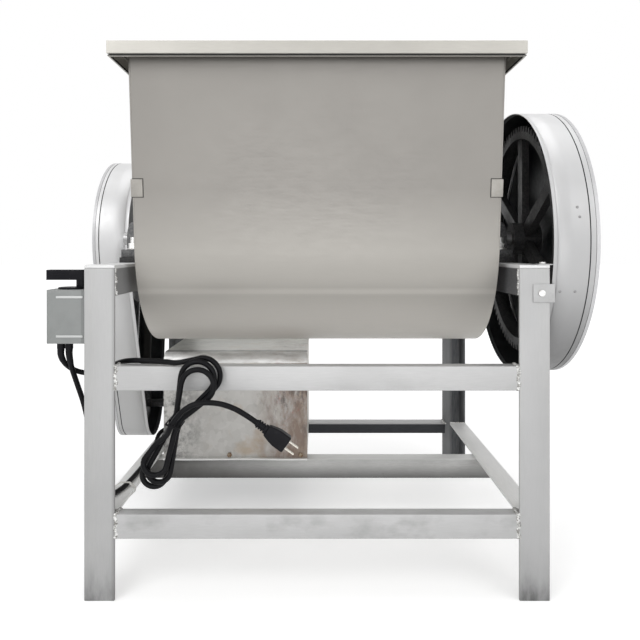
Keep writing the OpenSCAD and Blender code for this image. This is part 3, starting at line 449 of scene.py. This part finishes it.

# Motor rail. Rectangular tube welded across the low side rails to carry the motor and its cover;
# its paint is darkened below and to the left as painted shade, with a few brown stains, and its
# upper edge is a painted highlight.
motor_rail_stained_and_shaded, tree, shader, colour = steel("motor_rail_stained_and_shaded", (0.56, 0.56, 0.55), (0.45, 0.448, 0.44), 0.45,
                                        (0.5, 4, 4), 0.3, (0.1, 0.07, 0.05))
under = between(tree, place_on(tree, "Z"), 0.086, 0.112, 0.8, 0.0)
colour = mixed(tree, under, colour, (0.09, 0.09, 0.088))
left = between(tree, place_on(tree, "X"), -0.3, -0.02, 0.95, 0.0)
left = times(tree, left, between(tree, noise(tree, 14, 4), 0.3, 0.6, 0.8, 1.0))
colour = mixed(tree, left, colour, (0.035, 0.033, 0.03))
painted_highlight = between(tree, place_on(tree, "Z"), 0.1232, 0.1238)
tree.links.new(mixed(tree, painted_highlight, colour, (0.7, 0.7, 0.69)), shader.inputs["Base Color"])
eased("motor_rail", 1.6, motor_rail_stained_and_shaded, "frame", 3)

# Weld beads. Short overlapping beads of arc weld where the rails meet the legs, left rough; their
# colour is dark in the hollows of the relief as painted shadow and light on its lumps as painted
# glints.
bead_metal, tree, shader = new_finish("weld_bead", (0.5, 0.5, 0.49), 0.4, 0.5)
lumps = noise(tree, 320, 4)
raised(tree, shader, lumps, 0.0012, 0.8)
tree.links.new(mixed(tree, between(tree, lumps, 0.4, 0.62), (0.22, 0.215, 0.2),
                     (0.78, 0.78, 0.77)), shader.inputs["Base Color"])
bead_step = 3.2
weld_lines = []
for side in (-1, 1):
    x = side * 330.5
    for top in (385, 142):
        weld_lines += [((x, 0.8, top - 38), (x, 0.8, top - 1)), ((x, 1, top), (x, 24, top))]
    weld_lines += [((side * 333, 5, 543), (side * 333, 5, 503)),
                   ((side * 376, 51, 128.5), (side * 346, 51, 128.5)),
                   ((side * 376, 599, 128.5), (side * 346, 599, 128.5)),
                   ((x, 611, 124), (x, 645, 124)),
                   ((side * 377.5, 330, 123.5), (side * 377.5, 362, 123.5)),
                   ((x, 626, 385.5), (x, 648, 385.5))]
bead_places = []
for start, end in weld_lines:
    start, end = Vector(start), Vector(end)
    count = max(2, round((end - start).length / bead_step))
    bead_places += [(start.lerp(end, i / count), math.sin(7.3 * i + start.x + start.z))
                    for i in range(count + 1)]
bpy.ops.object.select_all(action="DESELECT")
bpy.ops.mesh.primitive_uv_sphere_add(segments=10, ring_count=6, radius=1)
one_bead = bpy.context.object
weld_parts = []
for place, wobble in bead_places:
    bead = bpy.data.objects.new("bead", one_bead.data.copy())
    bpy.context.scene.collection.objects.link(bead)
    bead.location = row(place.x + 1.1 * wobble, place.y, place.z)
    bead.scale = (0.0037 + 0.0006 * wobble, 0.0019, 0.0025 - 0.0003 * wobble)
    weld_parts.append(bead)
bpy.data.objects.remove(one_bead)
settle(joined(weld_parts), "weld_beads", bead_metal, "frame")
bpy.ops.object.shade_smooth()

# Gears and pulleys. Cast iron with a sandy skin, cut teeth and grooves, keyed on their shafts and
# black with oil; the motor's short shaft is as black.
cast_iron, tree, shader = new_finish("cast_iron", (0.035, 0.034, 0.034), 0.5, 0.3)
sand = noise(tree, 260, 6, 0.7)
tree.links.new(mixed(tree, between(tree, sand, 0.35, 0.75), (0.014, 0.015, 0.017),
                     (0.07, 0.068, 0.066)), shader.inputs["Base Color"])
tree.links.new(between(tree, noise(tree, 14, 3), 0.35, 0.7, 0.34, 0.7), shader.inputs["Roughness"])
raised(tree, shader, sand, 0.0012, 0.55)
for name in ("main_gear", "pinion", "big_pulley", "small_pulley", "motor_shaft"):
    wear(name, cast_iron)

# Bearings. Cast pillow blocks with rough outsides, on dark flat plates that lie across the top
# rails and are bolted down with them.
bearing_grey, tree, shader = new_finish("bearing_grey", (0.12, 0.12, 0.12), 0.5, 0.3)
sand = noise(tree, 200, 6, 0.7)
tree.links.new(mixed(tree, between(tree, sand, 0.35, 0.7), (0.06, 0.062, 0.065),
                     (0.2, 0.2, 0.2)), shader.inputs["Base Color"])
raised(tree, shader, sand, 0.0012, 0.55)
for name in ("main_bearing_left", "main_bearing_right", "gear_bearing_left", "gear_bearing_right"):
    eased(name, 2.0, bearing_grey, "frame")
eased("bearing_plates", 0.8, cast_iron, "frame")

# Bolts and screws. Plated steel, bright with a few dull spots, like the collars on the shaft; the
# motor cover's screws and the cleats behind them have rusted.
zinc, tree, shader = new_finish("zinc_plate", (0.7, 0.7, 0.69), 0.32, 0.7)
tree.links.new(mixed(tree, between(tree, noise(tree, 190, 5), 0.45, 0.75), (0.78, 0.78, 0.77),
                     (0.36, 0.33, 0.3)), shader.inputs["Base Color"])
tree.links.new(between(tree, noise(tree, 90), 0.3, 0.7, 0.22, 0.5), shader.inputs["Roughness"])
raised(tree, shader, noise(tree, 700, 3), 0.0002, 0.3)
wear("shaft_collars", zinc)
eased("bearing_bolts", 0.6, zinc, "frame")
eased("guard_screws", 0.9, zinc, "frame")

rusty_zinc, tree, shader = new_finish("rusty_zinc", (0.4, 0.3, 0.2), 0.6, 0.3)
rust = between(tree, noise(tree, 240, 6, 0.7), 0.4, 0.6)
tree.links.new(mixed(tree, rust, (0.36, 0.3, 0.22), (0.16, 0.075, 0.03)),
               shader.inputs["Base Color"])
tree.links.new(between(tree, rust, 0, 1, 0.4, 0.85), shader.inputs["Roughness"])
raised(tree, shader, rust, 0.0006, 0.5)
wear("cover_cleats", rusty_zinc)
eased("cover_screws", 0.7, rusty_zinc, "frame")

# Shafts and bushes. The shafts are turned from steel bar and keep the fine marks of the tool; they
# run in bronze bushes pressed into the trough's ends.
turned_steel = steel("turned_steel", (0.45, 0.45, 0.45), (0.3, 0.3, 0.3), 0.34, (6, 1, 1), 0.9)[0]
for name in ("mixing_shaft", "gear_shaft"):
    wear(name, turned_steel)
bronze, tree, shader = new_finish("bronze", (0.42, 0.28, 0.13), 0.4, 0.9)
tree.links.new(mixed(tree, noise(tree, 70, 4), (0.5, 0.34, 0.16), (0.3, 0.2, 0.1)),
               shader.inputs["Base Color"])
raised(tree, shader, noise(tree, 400, 3), 0.0002, 0.3)
wear("trough_bushes", bronze)

# Trough. 2 mm stainless sheet, satin, rolled round the bottom and welded to flat ends; the shell
# is spun here as one smooth sheet where the CAD solid has flat facets.
satin, tree, shader, colour = steel("satin_stainless", (0.26, 0.247, 0.229), (0.247, 0.235, 0.218),
                                    0.4, (0.25, 2, 2), 0.35, (0.27, 0.255, 0.235), 0.12)
clouds = between(tree, noise(tree, 2.6, 2), 0.35, 0.7, 0.0, 0.5)
colour = mixed(tree, clouds, colour, (0.285, 0.271, 0.251))
# Painted light: the sheet is painted lighter towards the bottom, where the underside gets little
# light, with a painted highlight along the bend line and a thin line of painted shade as a crease
# just below it.
bend_height = 0.502
bend = add_node(tree, "Math", {0: place_on(tree, "Z"), 1: bend_height},
                operation="SUBTRACT").outputs[0]
bend = add_node(tree, "Math", {0: bend}, operation="ABSOLUTE").outputs[0]
bend = between(tree, bend, 0.002, 0.008, 1.0, 0.0)
underside_painted_light = between(tree, place_on(tree, "Z"), 0.68, 0.53, 0.0, 0.75)
colour = mixed(tree, underside_painted_light, colour, (0.43, 0.413, 0.382))
underside_painted_light = between(tree, place_on(tree, "Z"), 0.51, 0.43, 0.0, 0.75)
colour = mixed(tree, underside_painted_light, colour, (0.66, 0.634, 0.59))
colour = mixed(tree, times(tree, bend, 0.35), colour, (0.6, 0.58, 0.54))
crease_shade = between(tree, place_on(tree, "Z"), 0.4955, 0.4968)
crease_shade = times(tree, crease_shade, between(tree, place_on(tree, "Z"), 0.4968, 0.4981, 1.0, 0.0))
colour = mixed(tree, times(tree, crease_shade, 0.2), colour, (0.3, 0.29, 0.27))
# Painted shade: the wall is painted darker just under the rim.
rim_shadow = between(tree, place_on(tree, "Z"), 0.884, 0.894, 0.0, 0.75)
tree.links.new(mixed(tree, rim_shadow, colour, (0.1, 0.095, 0.085)), shader.inputs["Base Color"])

axis = row(0, 250, 598)
shell_length, wall_lean, wall_steps = 0.622, math.radians(6.28), 8
foot, top = (0.1998, -0.022), (0.237, 0.315)
bpy.ops.object.select_all(action="DESELECT")
bpy.ops.mesh.primitive_grid_add(x_subdivisions=12, y_subdivisions=wall_steps, size=1)
shell = bpy.context.object
for vertex in shell.data.vertices:
    share = vertex.co.y + 0.5
    vertex.co = Vector((axis.x + vertex.co.x * shell_length,
                        axis.y + foot[0] + share * (top[0] - foot[0]),
                        axis.z + foot[1] + share * (top[1] - foot[1])))


def select_where(made, test):
    """In object mode: only the vertices for which the test holds are selected."""
    bpy.ops.object.mode_set(mode="OBJECT")
    for part in (*made.data.polygons, *made.data.edges):
        part.select = False
    for vertex in made.data.vertices:
        vertex.select = test(vertex.co)


bpy.ops.object.mode_set(mode="EDIT")
bpy.ops.mesh.select_mode(type="VERT")
select_where(shell, lambda co: co.z < axis.z + foot[1] + 0.0001)
bpy.ops.object.mode_set(mode="EDIT")
bpy.ops.mesh.spin(steps=64, angle=math.pi - 2 * wall_lean, center=axis, axis=(1, 0, 0))
rise = (0, -(top[0] - foot[0]) / wall_steps, (top[1] - foot[1]) / wall_steps)
for i in range(wall_steps):
    bpy.ops.mesh.extrude_region_move(TRANSFORM_OT_translate={"value": rise})
bpy.ops.mesh.select_all(action="SELECT")
bpy.ops.mesh.remove_doubles(threshold=0.0003)
bpy.ops.mesh.normals_make_consistent(inside=False)
bpy.ops.object.mode_set(mode="OBJECT")
sheet = shell.modifiers.new("sheet", "SOLIDIFY")
sheet.thickness, sheet.offset = 0.002, -1
apply_modifiers(shell)
settle(shell, "rolled_shell", satin, "trough")
bpy.ops.object.shade_smooth_by_angle(angle=math.radians(35))
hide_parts("trough_shell")
for name in ("trough_end_left", "trough_end_right"):
    eased(name, 0.6, satin, "trough")
wear("kneading_arms", satin)

# Rim. A flat stainless flange welded round the mouth; its lip is folded down and back under, so
# that a slot and a second bright edge run below the lip. The slot's faces are painted near black
# as painted shadow.
rim_satin = steel("rim_satin", (0.53, 0.515, 0.475), (0.47, 0.455, 0.42), 0.36, (0.3, 4, 8), 0.35,
                  (0.4, 0.385, 0.355), 0.3)[0]
painted_shadow, tree, shader = new_finish("painted_shadow", (0.02, 0.02, 0.02), 0.8)
tree.links.new(mixed(tree, noise(tree, 60), (0.014, 0.014, 0.014), (0.03, 0.029, 0.027)),
               shader.inputs["Base Color"])
raised(tree, shader, noise(tree, 300), 0.0003, 0.3)
rim_half_length, rim_half_depth, rim_middle = 341, 264, 250
rim_profile = [(29.5, 913), (29.5, 915), (0.6, 915), (0, 914.4), (0, 895), (0.8, 894.2),
               (3.5, 894.2), (3.5, 892), (1.5, 892), (1.5, 890.4), (1.9, 890), (4.5, 890),
               (4.5, 894), (2.6, 896), (2.2, 911), (4, 913)]
bpy.ops.object.select_all(action="DESELECT")
bpy.ops.mesh.primitive_plane_add(size=2)
rim = bpy.context.object
bpy.ops.object.mode_set(mode="EDIT")
bpy.ops.mesh.delete(type="ONLY_FACE")
bpy.ops.mesh.select_all(action="SELECT")
for i in range(len(rim_profile) - 1):
    bpy.ops.mesh.extrude_region_move(TRANSFORM_OT_translate={"value": (0, 0, 1)})
bpy.ops.object.mode_set(mode="OBJECT")
for vertex in rim.data.vertices:
    inset, height = rim_profile[round(vertex.co.z)]
    vertex.co = row(math.copysign(rim_half_length - inset, vertex.co.x),
                    rim_middle + math.copysign(rim_half_depth - inset, vertex.co.y), height)
bpy.ops.object.mode_set(mode="EDIT")
bpy.ops.mesh.select_all(action="SELECT")
bpy.ops.mesh.normals_make_consistent(inside=False)
bpy.ops.object.mode_set(mode="OBJECT")
settle(rim, "folded_rim", rim_satin, "trough")
rim.data.materials.append(painted_shadow)
slot_foot, slot_top = 0.8904, 0.8938
for face in rim.data.polygons:
    if slot_foot < face.center.z < slot_top and face.normal.z < 0.5:
        face.material_index = 1
bpy.ops.object.shade_smooth_by_angle(angle=math.radians(30))
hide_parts("trough_rim")

# Corner clips. Small folded stainless catches riveted over the trough's front corners; a thin
# near-black plate behind each, a little larger than the clip, is a painted shadow round it.
clip_satin = steel("clip_satin", (0.36, 0.345, 0.32), (0.31, 0.295, 0.27), 0.4, (2, 2, 2), 0.35)[0]
eased("corner_clips", 0.4, clip_satin, "trough")
clip_shadow_plates = []
for side in (-1, 1):
    bpy.ops.object.select_all(action="DESELECT")
    bpy.ops.mesh.primitive_cube_add(size=1, location=row(side * 304.6, 38.5, 681),
                                    rotation=(wall_lean, 0, 0), scale=(0.0193, 0.0008, 0.0324))
    clip_shadow_plate = bpy.context.object
    bpy.ops.object.transform_apply(location=False, rotation=False, scale=True)
    bevel = clip_shadow_plate.modifiers.new("edge", "BEVEL")
    bevel.width, bevel.segments = 0.0002, 2
    apply_modifiers(clip_shadow_plate)
    clip_shadow_plates.append(clip_shadow_plate)
settle(joined(clip_shadow_plates), "clip_painted_shadows", painted_shadow, "trough")

# Guard bands. Thin steel sheet bent round the drives, sprayed silver, a groove rolled near the
# open edge for stiffness and one where the cap is pressed on, whose faces are painted dark as
# painted shadow; the insides are black with oil.
guard_sheet, tree, shader, colour = steel("guard_sheet", (0.72, 0.72, 0.725), (0.69, 0.69, 0.695),
                                          0.4, (1, 0.4, 0.4), 0.35, (0.5, 0.5, 0.5), 0.12)
# Painted shade: the drum on the right is painted darker towards its bottom, and the left guard
# darker low down.
right = between(tree, place_on(tree, "X"), 0.0, 0.1)
drum_shade_below = times(tree, right, between(tree, place_on(tree, "Z"), 0.8, 0.6, 0.0, 0.78))
colour = mixed(tree, drum_shade_below, colour, (0.36, 0.36, 0.362))
drum_shade_below = times(tree, right, between(tree, place_on(tree, "Z"), 0.52, 0.37, 0.0, 0.8))
left = times(tree, between(tree, place_on(tree, "X"), -0.1, -0.2),
             between(tree, place_on(tree, "Z"), 0.62, 0.25, 0.0, 0.66))
colour = mixed(tree, left, colour, (0.38, 0.38, 0.375))
tree.links.new(mixed(tree, drum_shade_below, colour, (0.13, 0.13, 0.131)), shader.inputs["Base Color"])
oil_inside_and_seam_shadow, tree, shader = new_finish("oil_inside_and_seam_shadow", (0.016, 0.017, 0.019), 0.6)
film = noise(tree, 22, 5, 0.6)
tree.links.new(mixed(tree, between(tree, film, 0.35, 0.75), (0.008, 0.009, 0.01),
                     (0.035, 0.037, 0.04)), shader.inputs["Base Color"])
raised(tree, shader, noise(tree, 140), 0.0006, 0.3)


def guard_band(name, profile, seam, main, main_r, small, small_r):
    """The band round two circles, from its cross-section of (x, depth inwards), in millimetres."""
    way = Vector((small[0] - main[0], small[1] - main[1]))
    base = math.atan2(way.y, way.x)
    half = math.acos((main_r - small_r) / way.length)
    bpy.ops.object.select_all(action="DESELECT")
    bpy.ops.mesh.primitive_grid_add(x_subdivisions=len(profile) - 1, y_subdivisions=1, size=1)
    made = bpy.context.object
    select_where(made, lambda co: co.y > 0)
    bpy.ops.object.mode_set(mode="EDIT")
    bpy.ops.mesh.delete(type="VERT")
    bpy.ops.object.mode_set(mode="OBJECT")
    out = Vector((math.cos(base + half), math.sin(base + half)))
    for vertex, (x, depth) in zip(sorted(made.data.vertices, key=lambda v: v.co.x), profile):
        vertex.co = row(x, main[0] + (main_r - depth) * out.x, main[1] + (main_r - depth) * out.y)
    bpy.ops.object.mode_set(mode="EDIT")
    bpy.ops.mesh.select_all(action="SELECT")
    bpy.ops.mesh.spin(steps=96, angle=2 * half - 2 * math.pi, center=row(0, *main), axis=(1, 0, 0))
    for turn, steps in ((-1, 44), (1, 0)):
        across = Vector((math.cos(base + turn * half), math.sin(base + turn * half)))
        step = -turn * (way - (main_r - small_r) * across)
        bpy.ops.mesh.extrude_region_move(TRANSFORM_OT_translate={
            "value": (0, step.x / 1000, step.y / 1000)})
        if steps:
            bpy.ops.mesh.spin(steps=steps, angle=-2 * half, center=row(0, *small), axis=(1, 0, 0))
    bpy.ops.mesh.select_all(action="SELECT")
    bpy.ops.mesh.remove_doubles(threshold=0.0002)
    bpy.ops.mesh.normals_make_consistent(inside=False)
    bpy.ops.object.mode_set(mode="OBJECT")
    wall = made.modifiers.new("sheet", "SOLIDIFY")
    wall.thickness, wall.offset = 0.0014, -1
    made.data.materials.append(guard_sheet)
    made.data.materials.append(oil_inside_and_seam_shadow)
    wall.material_offset = 1
    apply_modifiers(made)
    inside = [face.material_index for face in made.data.polygons]
    settle(made, name, guard_sheet, "frame")
    made.data.materials.append(oil_inside_and_seam_shadow)
    for face, index in zip(made.data.polygons, inside):
        face.material_index = index
        # The seam groove's faces take the dark inside finish as painted shadow.
        if abs(face.center.x - row(seam, 0, 0).x) < 0.0009:
            face.material_index = 1
    bpy.ops.object.shade_smooth_by_angle(angle=math.radians(50))
    return made


edge_groove = [(0, 0.1), (0.8, 0), (5.5, 0), (6.8, 1.2), (7.4, 1.5), (8, 1.2), (9.4, 0)]
seam_groove = [(-1, 0), (-0.5, 0.9), (0.5, 0.9), (1, 0)]
drum_middle, drum_radius, gear_shaft_place = (250, 591), 254.9, (505, 598)
gear_seam, belt_seam = 447, -467
gear_band = guard_band("gear_guard_sheet", [(387 + x, d) for x, d in edge_groove]
                       + [(420, 0)] + [(gear_seam + x, d) for x, d in seam_groove] + [(456.4, 0)],
                       gear_seam, drum_middle, drum_radius, gear_shaft_place, 51.9)
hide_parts("gear_guard_band")
belt_band = guard_band("belt_guard_sheet", [(-474.4, 0)]
                       + [(belt_seam + x, d) for x, d in seam_groove] + [(-440, 0)]
                       + [(-404 - x, d) for x, d in reversed(edge_groove)],
                       belt_seam, gear_shaft_place, 184.9, (552, 192), 77.9)
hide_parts("belt_guard_band")

# Guard caps and tabs. Flat caps of the same sheet, pressed on outside and black with oil inside;
# small bent tabs, screwed down, hold the guards to the legs.
cap_sheet, tree, shader, colour = steel("cap_sheet", (0.56, 0.56, 0.57), (0.53, 0.53, 0.54), 0.4,
                                        (0.4, 1, 1), 0.35, (0.45, 0.45, 0.45), 0.12)
facing = add_node(tree, "SeparateXYZ", {"Vector": add_node(tree, "NewGeometry").outputs["Normal"]})
inward = add_node(tree, "Math", {0: facing.outputs["X"], 1: place_on(tree, "X")},
                  operation="MULTIPLY").outputs[0]
inner = between(tree, inward, -0.1, -0.3)
tree.links.new(mixed(tree, inner, colour, (0.025, 0.027, 0.03)), shader.inputs["Base Color"])
for name in ("gear_guard_cap", "belt_guard_cap"):
    wear(name, cap_sheet)
tab_steel = steel("tab_steel", (0.48, 0.48, 0.48), (0.42, 0.42, 0.42), 0.45, (3, 3, 3))[0]
eased("guard_tabs", 0.4, tab_steel, "frame")

# Rivets. Four small domed steel rivets go through the drum's band and hold the tab's far leg and a
# stiffener inside.
rivet_parts = []
for x, z in ((401.7, 507), (426.7, 507), (430, 630), (427, 646)):
    y = drum_middle[0] - math.sqrt(drum_radius ** 2 - (drum_middle[1] - z) ** 2)
    bpy.ops.object.select_all(action="DESELECT")
    bpy.ops.mesh.primitive_uv_sphere_add(segments=14, ring_count=8, radius=1,
                                         location=row(x, y, z), scale=(0.0024, 0.0012, 0.0024))
    rivet_parts.append(bpy.context.object)
rivets = joined(rivet_parts)
rivet_grey, tree, shader = new_finish("rivet_grey", (0.25, 0.25, 0.25), 0.45, 0.5)
tree.links.new(mixed(tree, noise(tree, 300), (0.16, 0.16, 0.16), (0.36, 0.36, 0.36)),
               shader.inputs["Base Color"])
raised(tree, shader, noise(tree, 600), 0.0002, 0.3)
settle(rivets, "drum_rivets", rivet_grey, "frame")
bpy.ops.object.shade_smooth()

# Belt. Black rubber vee belt with cloth-covered flanks, tight over the two pulleys inside the left
# guard.
belt_rubber, tree, shader = new_finish("belt_rubber", (0.02, 0.02, 0.02), 0.7)
cloth = noise(tree, 600, 4)
raised(tree, shader, cloth, 0.0003, 0.5)
tree.links.new(mixed(tree, cloth, (0.012, 0.012, 0.012), (0.045, 0.043, 0.04)),
               shader.inputs["Base Color"])
wear("drive_belt", belt_rubber)

# Motor. Cast housing, fan cover and feet in grey enamel, bolted down under the cover and seen only
# when that is off.
motor_enamel, tree, shader = new_finish("motor_enamel", (0.2, 0.23, 0.25), 0.4)
raised(tree, shader, noise(tree, 260, 3), 0.0004, 0.3)
tree.links.new(mixed(tree, between(tree, noise(tree, 30), 0.4, 0.7), (0.2, 0.23, 0.25),
                     (0.15, 0.17, 0.185)), shader.inputs["Base Color"])
for name in ("motor_body", "motor_fan_cover", "motor_feet"):
    wear(name, motor_enamel)

# Motor cover. Folded galvanised sheet with a dull spangle, tinted and rusty towards the right,
# with a painted highlight on its rounded bend and greasy behind it; a narrow flange is folded out
# along its foot.
galvanised, tree, shader = new_finish("galvanised", (0.5, 0.49, 0.47), 0.4, 0.35)
where = add_node(tree, "TexCoord").outputs["Object"]
wobble = add_node(tree, "TexNoise", {"Vector": where, "Scale": 60.0, "Detail": 3.0})
bent = add_node(tree, "VectorMath", {0: wobble.outputs["Color"], 1: (0.02, 0.02, 0.02)},
                operation="MULTIPLY").outputs[0]
bent = add_node(tree, "VectorMath", {0: where, 1: bent}, operation="ADD").outputs[0]
spangle = add_node(tree, "TexVoronoi", {"Vector": bent, "Scale": 75.0}).outputs["Color"]
cell = add_node(tree, "SeparateColor", {"Color": spangle}).outputs[0]
colour = mixed(tree, cell, (0.47, 0.46, 0.44), (0.56, 0.55, 0.53))
left = between(tree, place_on(tree, "X"), -0.3, -0.22, 0.95, 0.0)
left = times(tree, left, between(tree, noise(tree, 42, 7, 0.75), 0.42, 0.6))
colour = mixed(tree, left, colour, (0.1, 0.1, 0.098))
tan = between(tree, noise(tree, 22, 3, 0.5, place=(3, 1, 2)), 0.52, 0.66, 0, 0.7)
middle = between(tree, place_on(tree, "X"), -0.24, -0.17, 0.0, 1.0)
colour = mixed(tree, times(tree, tan, middle), colour, (0.42, 0.33, 0.24))
right = between(tree, place_on(tree, "X"), -0.135, -0.065)
rust = between(tree, noise(tree, 44, 7, 0.7, (1, 1, 0.4)), 0.34, 0.6, 0.15, 1.0)
colour = mixed(tree, times(tree, times(tree, rust, right), 0.92), colour, (0.225, 0.16, 0.125))
dark = between(tree, noise(tree, 60, 6, 0.75, (1, 1, 0.5), (5, 2, 7)), 0.5, 0.64, 0, 0.75)
dark = times(tree, times(tree, right, dark), between(tree, place_on(tree, "Z"), 0.15, 0.24))
colour = mixed(tree, dark, colour, (0.07, 0.062, 0.06))
red = times(tree, right, between(tree, noise(tree, 28, 4, 0.6, place=(9, 9, 2)), 0.6, 0.7, 0, 0.6))
colour = mixed(tree, red, colour, (0.32, 0.09, 0.07))
back = place_on(tree, "Y")
# Painted highlight along the rounded bend.
bend = times(tree, between(tree, place_on(tree, "Z"), 0.3305, 0.3325),
             between(tree, back, 0.005, 0.008, 1.0, 0.0))
smear = between(tree, noise(tree, 40, 5, 0.6, (0.35, 1, 1.6), (1, 4, 4)), 0.44, 0.64, 1.0, 0.4)
colour = mixed(tree, times(tree, bend, smear), colour, (0.9, 0.9, 0.89))
top = between(tree, back, 0.008, 0.01)
film = between(tree, noise(tree, 30, 5, 0.7, (0.5, 0.5, 1)), 0.35, 0.65, 0.5, 0.95)
colour = mixed(tree, times(tree, top, film), colour, (0.7, 0.7, 0.65))
film = times(tree, top, between(tree, back, 0.012, 0.03, 0.8, 0.0))
colour = mixed(tree, film, colour, (0.07, 0.07, 0.068))
tree.links.new(colour, shader.inputs["Base Color"])
tree.links.new(between(tree, cell, 0, 1, 0.32, 0.5), shader.inputs["Roughness"])
raised(tree, shader, noise(tree, 110, 5), 0.0006, 0.3)
eased("motor_cover", 0.5, galvanised, "frame")

bpy.ops.object.select_all(action="DESELECT")
bpy.ops.mesh.primitive_cube_add(size=1, location=row(-175.5, 324.4, 126.2),
                                scale=(0.309, 0.0072, 0.0034))
flange = bpy.context.object
bpy.ops.object.transform_apply(location=True, rotation=True, scale=True)
bpy.ops.object.mode_set(mode="EDIT")
bpy.ops.mesh.subdivide(number_cuts=5)
bpy.ops.object.mode_set(mode="OBJECT")
for vertex in flange.data.vertices:
    vertex.co.z += 0.0005 * math.sin(31 * vertex.co.x)
bevel = flange.modifiers.new("edge", "BEVEL")
bevel.width, bevel.segments = 0.0004, 2
apply_modifiers(flange)
bright_zinc = steel("bright_zinc", (0.85, 0.85, 0.84), (0.7, 0.7, 0.69), 0.35, (0.4, 3, 3), 0.3)[0]
settle(flange, "cover_flange", bright_zinc, "frame")

# Switch. Folded steel box in grey enamel, fixed to the left leg, with two ribs pressed out of its
# lid; the boss and the L-shaped handle are moulded in black plastic.
box_enamel, tree, shader = new_finish("box_enamel", (0.34, 0.35, 0.345), 0.42)
raised(tree, shader, noise(tree, 300, 3), 0.0004, 0.3)
colour = mixed(tree, between(tree, noise(tree, 34, 4), 0.4, 0.72), (0.262, 0.272, 0.268),
               (0.235, 0.245, 0.241))
# Painted shade: the box's right side is painted darker.
box_side_shade = between(tree, place_on(tree, "X"), -0.3805, -0.3795, 0.0, 0.5)
tree.links.new(mixed(tree, box_side_shade, colour, (0.16, 0.165, 0.165)), shader.inputs["Base Color"])
eased("switch_box", 1.2, box_enamel, "frame", 3)
lid = eased("switch_lid", 1.2, box_enamel, "frame", 3)
# Painted highlight: the ribs' front faces are painted lighter than the lid, less so on the lower
# rib's lower half.
rib_highlight_enamel, tree, shader = new_finish("rib_highlight_enamel", (0.55, 0.56, 0.555), 0.35)
raised(tree, shader, noise(tree, 300, 3), 0.0004, 0.3)
tree.links.new(mixed(tree, between(tree, place_on(tree, "Z"), 0.43, 0.434), (0.36, 0.37, 0.365),
                     (0.62, 0.63, 0.625)), shader.inputs["Base Color"])
lid.data.materials.append(rib_highlight_enamel)
lid_front = row(0, 5.3, 0).y
for face in lid.data.polygons:
    if face.center.y < lid_front:
        face.material_index = 1
eased("switch_boss", 0.8, moulded_black, "frame", 3)
eased("switch_handle", 1.5, moulded_black, "switch_handle", 3)

# Floor and light. A plain white floor that keeps the soft shadow, a white surround for the camera
# and for what metal mirrors, and large soft lamps from the front and above.
bpy.ops.object.select_all(action="DESELECT")
bpy.ops.mesh.primitive_plane_add(size=40, location=(0, 0, 0))
floor = bpy.context.object
floor.name = "floor"


def seen(tree):
    """1 for what the camera sees itself or in metal and glass, and 0 for light on the object."""
    rays = add_node(tree, "LightPath")
    both = add_node(tree, "Math", {0: rays.outputs["Is Camera Ray"],
                                   1: rays.outputs["Is Glossy Ray"]}, operation="MAXIMUM")
    return add_node(tree, "Math", {0: both.outputs[0], 1: rays.outputs["Is Transmission Ray"]},
                    operation="MAXIMUM").outputs[0]


white_floor, tree, shader = new_finish("white_floor", (0.9, 0.9, 0.9), 0.9)
shader.inputs["Specular IOR Level"].default_value = 0
across, deep = place_on(tree, "X"), place_on(tree, "Y")
far = add_node(tree, "Math", {0: times(tree, across, across), 1: times(tree, deep, deep)},
               operation="ADD").outputs[0]
shader.inputs["Emission Color"].default_value = (1, 1, 1, 1)
glow = between(tree, far, 0.3, 9.0, 0.42, 0.75)
tree.links.new(times(tree, seen(tree), glow), shader.inputs["Emission Strength"])
floor.data.materials.append(white_floor)

world = bpy.data.worlds.new("surround")
bpy.context.scene.world = world
world.use_nodes = True
tree = world.node_tree
strength = between(tree, seen(tree), 0, 1, 0.46, 1.0)
background = tree.nodes["Background"]
background.inputs["Color"].default_value = (1, 1, 1, 1)
tree.links.new(strength, background.inputs["Strength"])
for name, place, aim, size, power in (
        ("key_lamp", (-1.5, -2.4, 2.2), 0.5, 1.6, 26),
        ("fill_lamp", (1.9, -2.1, 1.4), 0.5, 1.8, 15.5),
        ("top_lamp", (0, 0.2, 2.7), 0.5, 2.0, 19),
        ("low_lamp", (0, -2.2, 0.3), 0.42, 1.4, 10)):
    lamp_data = bpy.data.lights.new(name, "AREA")
    lamp_data.size, lamp_data.energy = size, power
    lamp = bpy.data.objects.new(name, lamp_data)
    bpy.context.scene.collection.objects.link(lamp)
    lamp.location = place
    towards = Vector((0, 0, aim)) - Vector(place)
    lamp.rotation_euler = towards.to_track_quat("-Z", "Y").to_euler()
bpy.context.scene.view_settings.view_transform = "Standard"
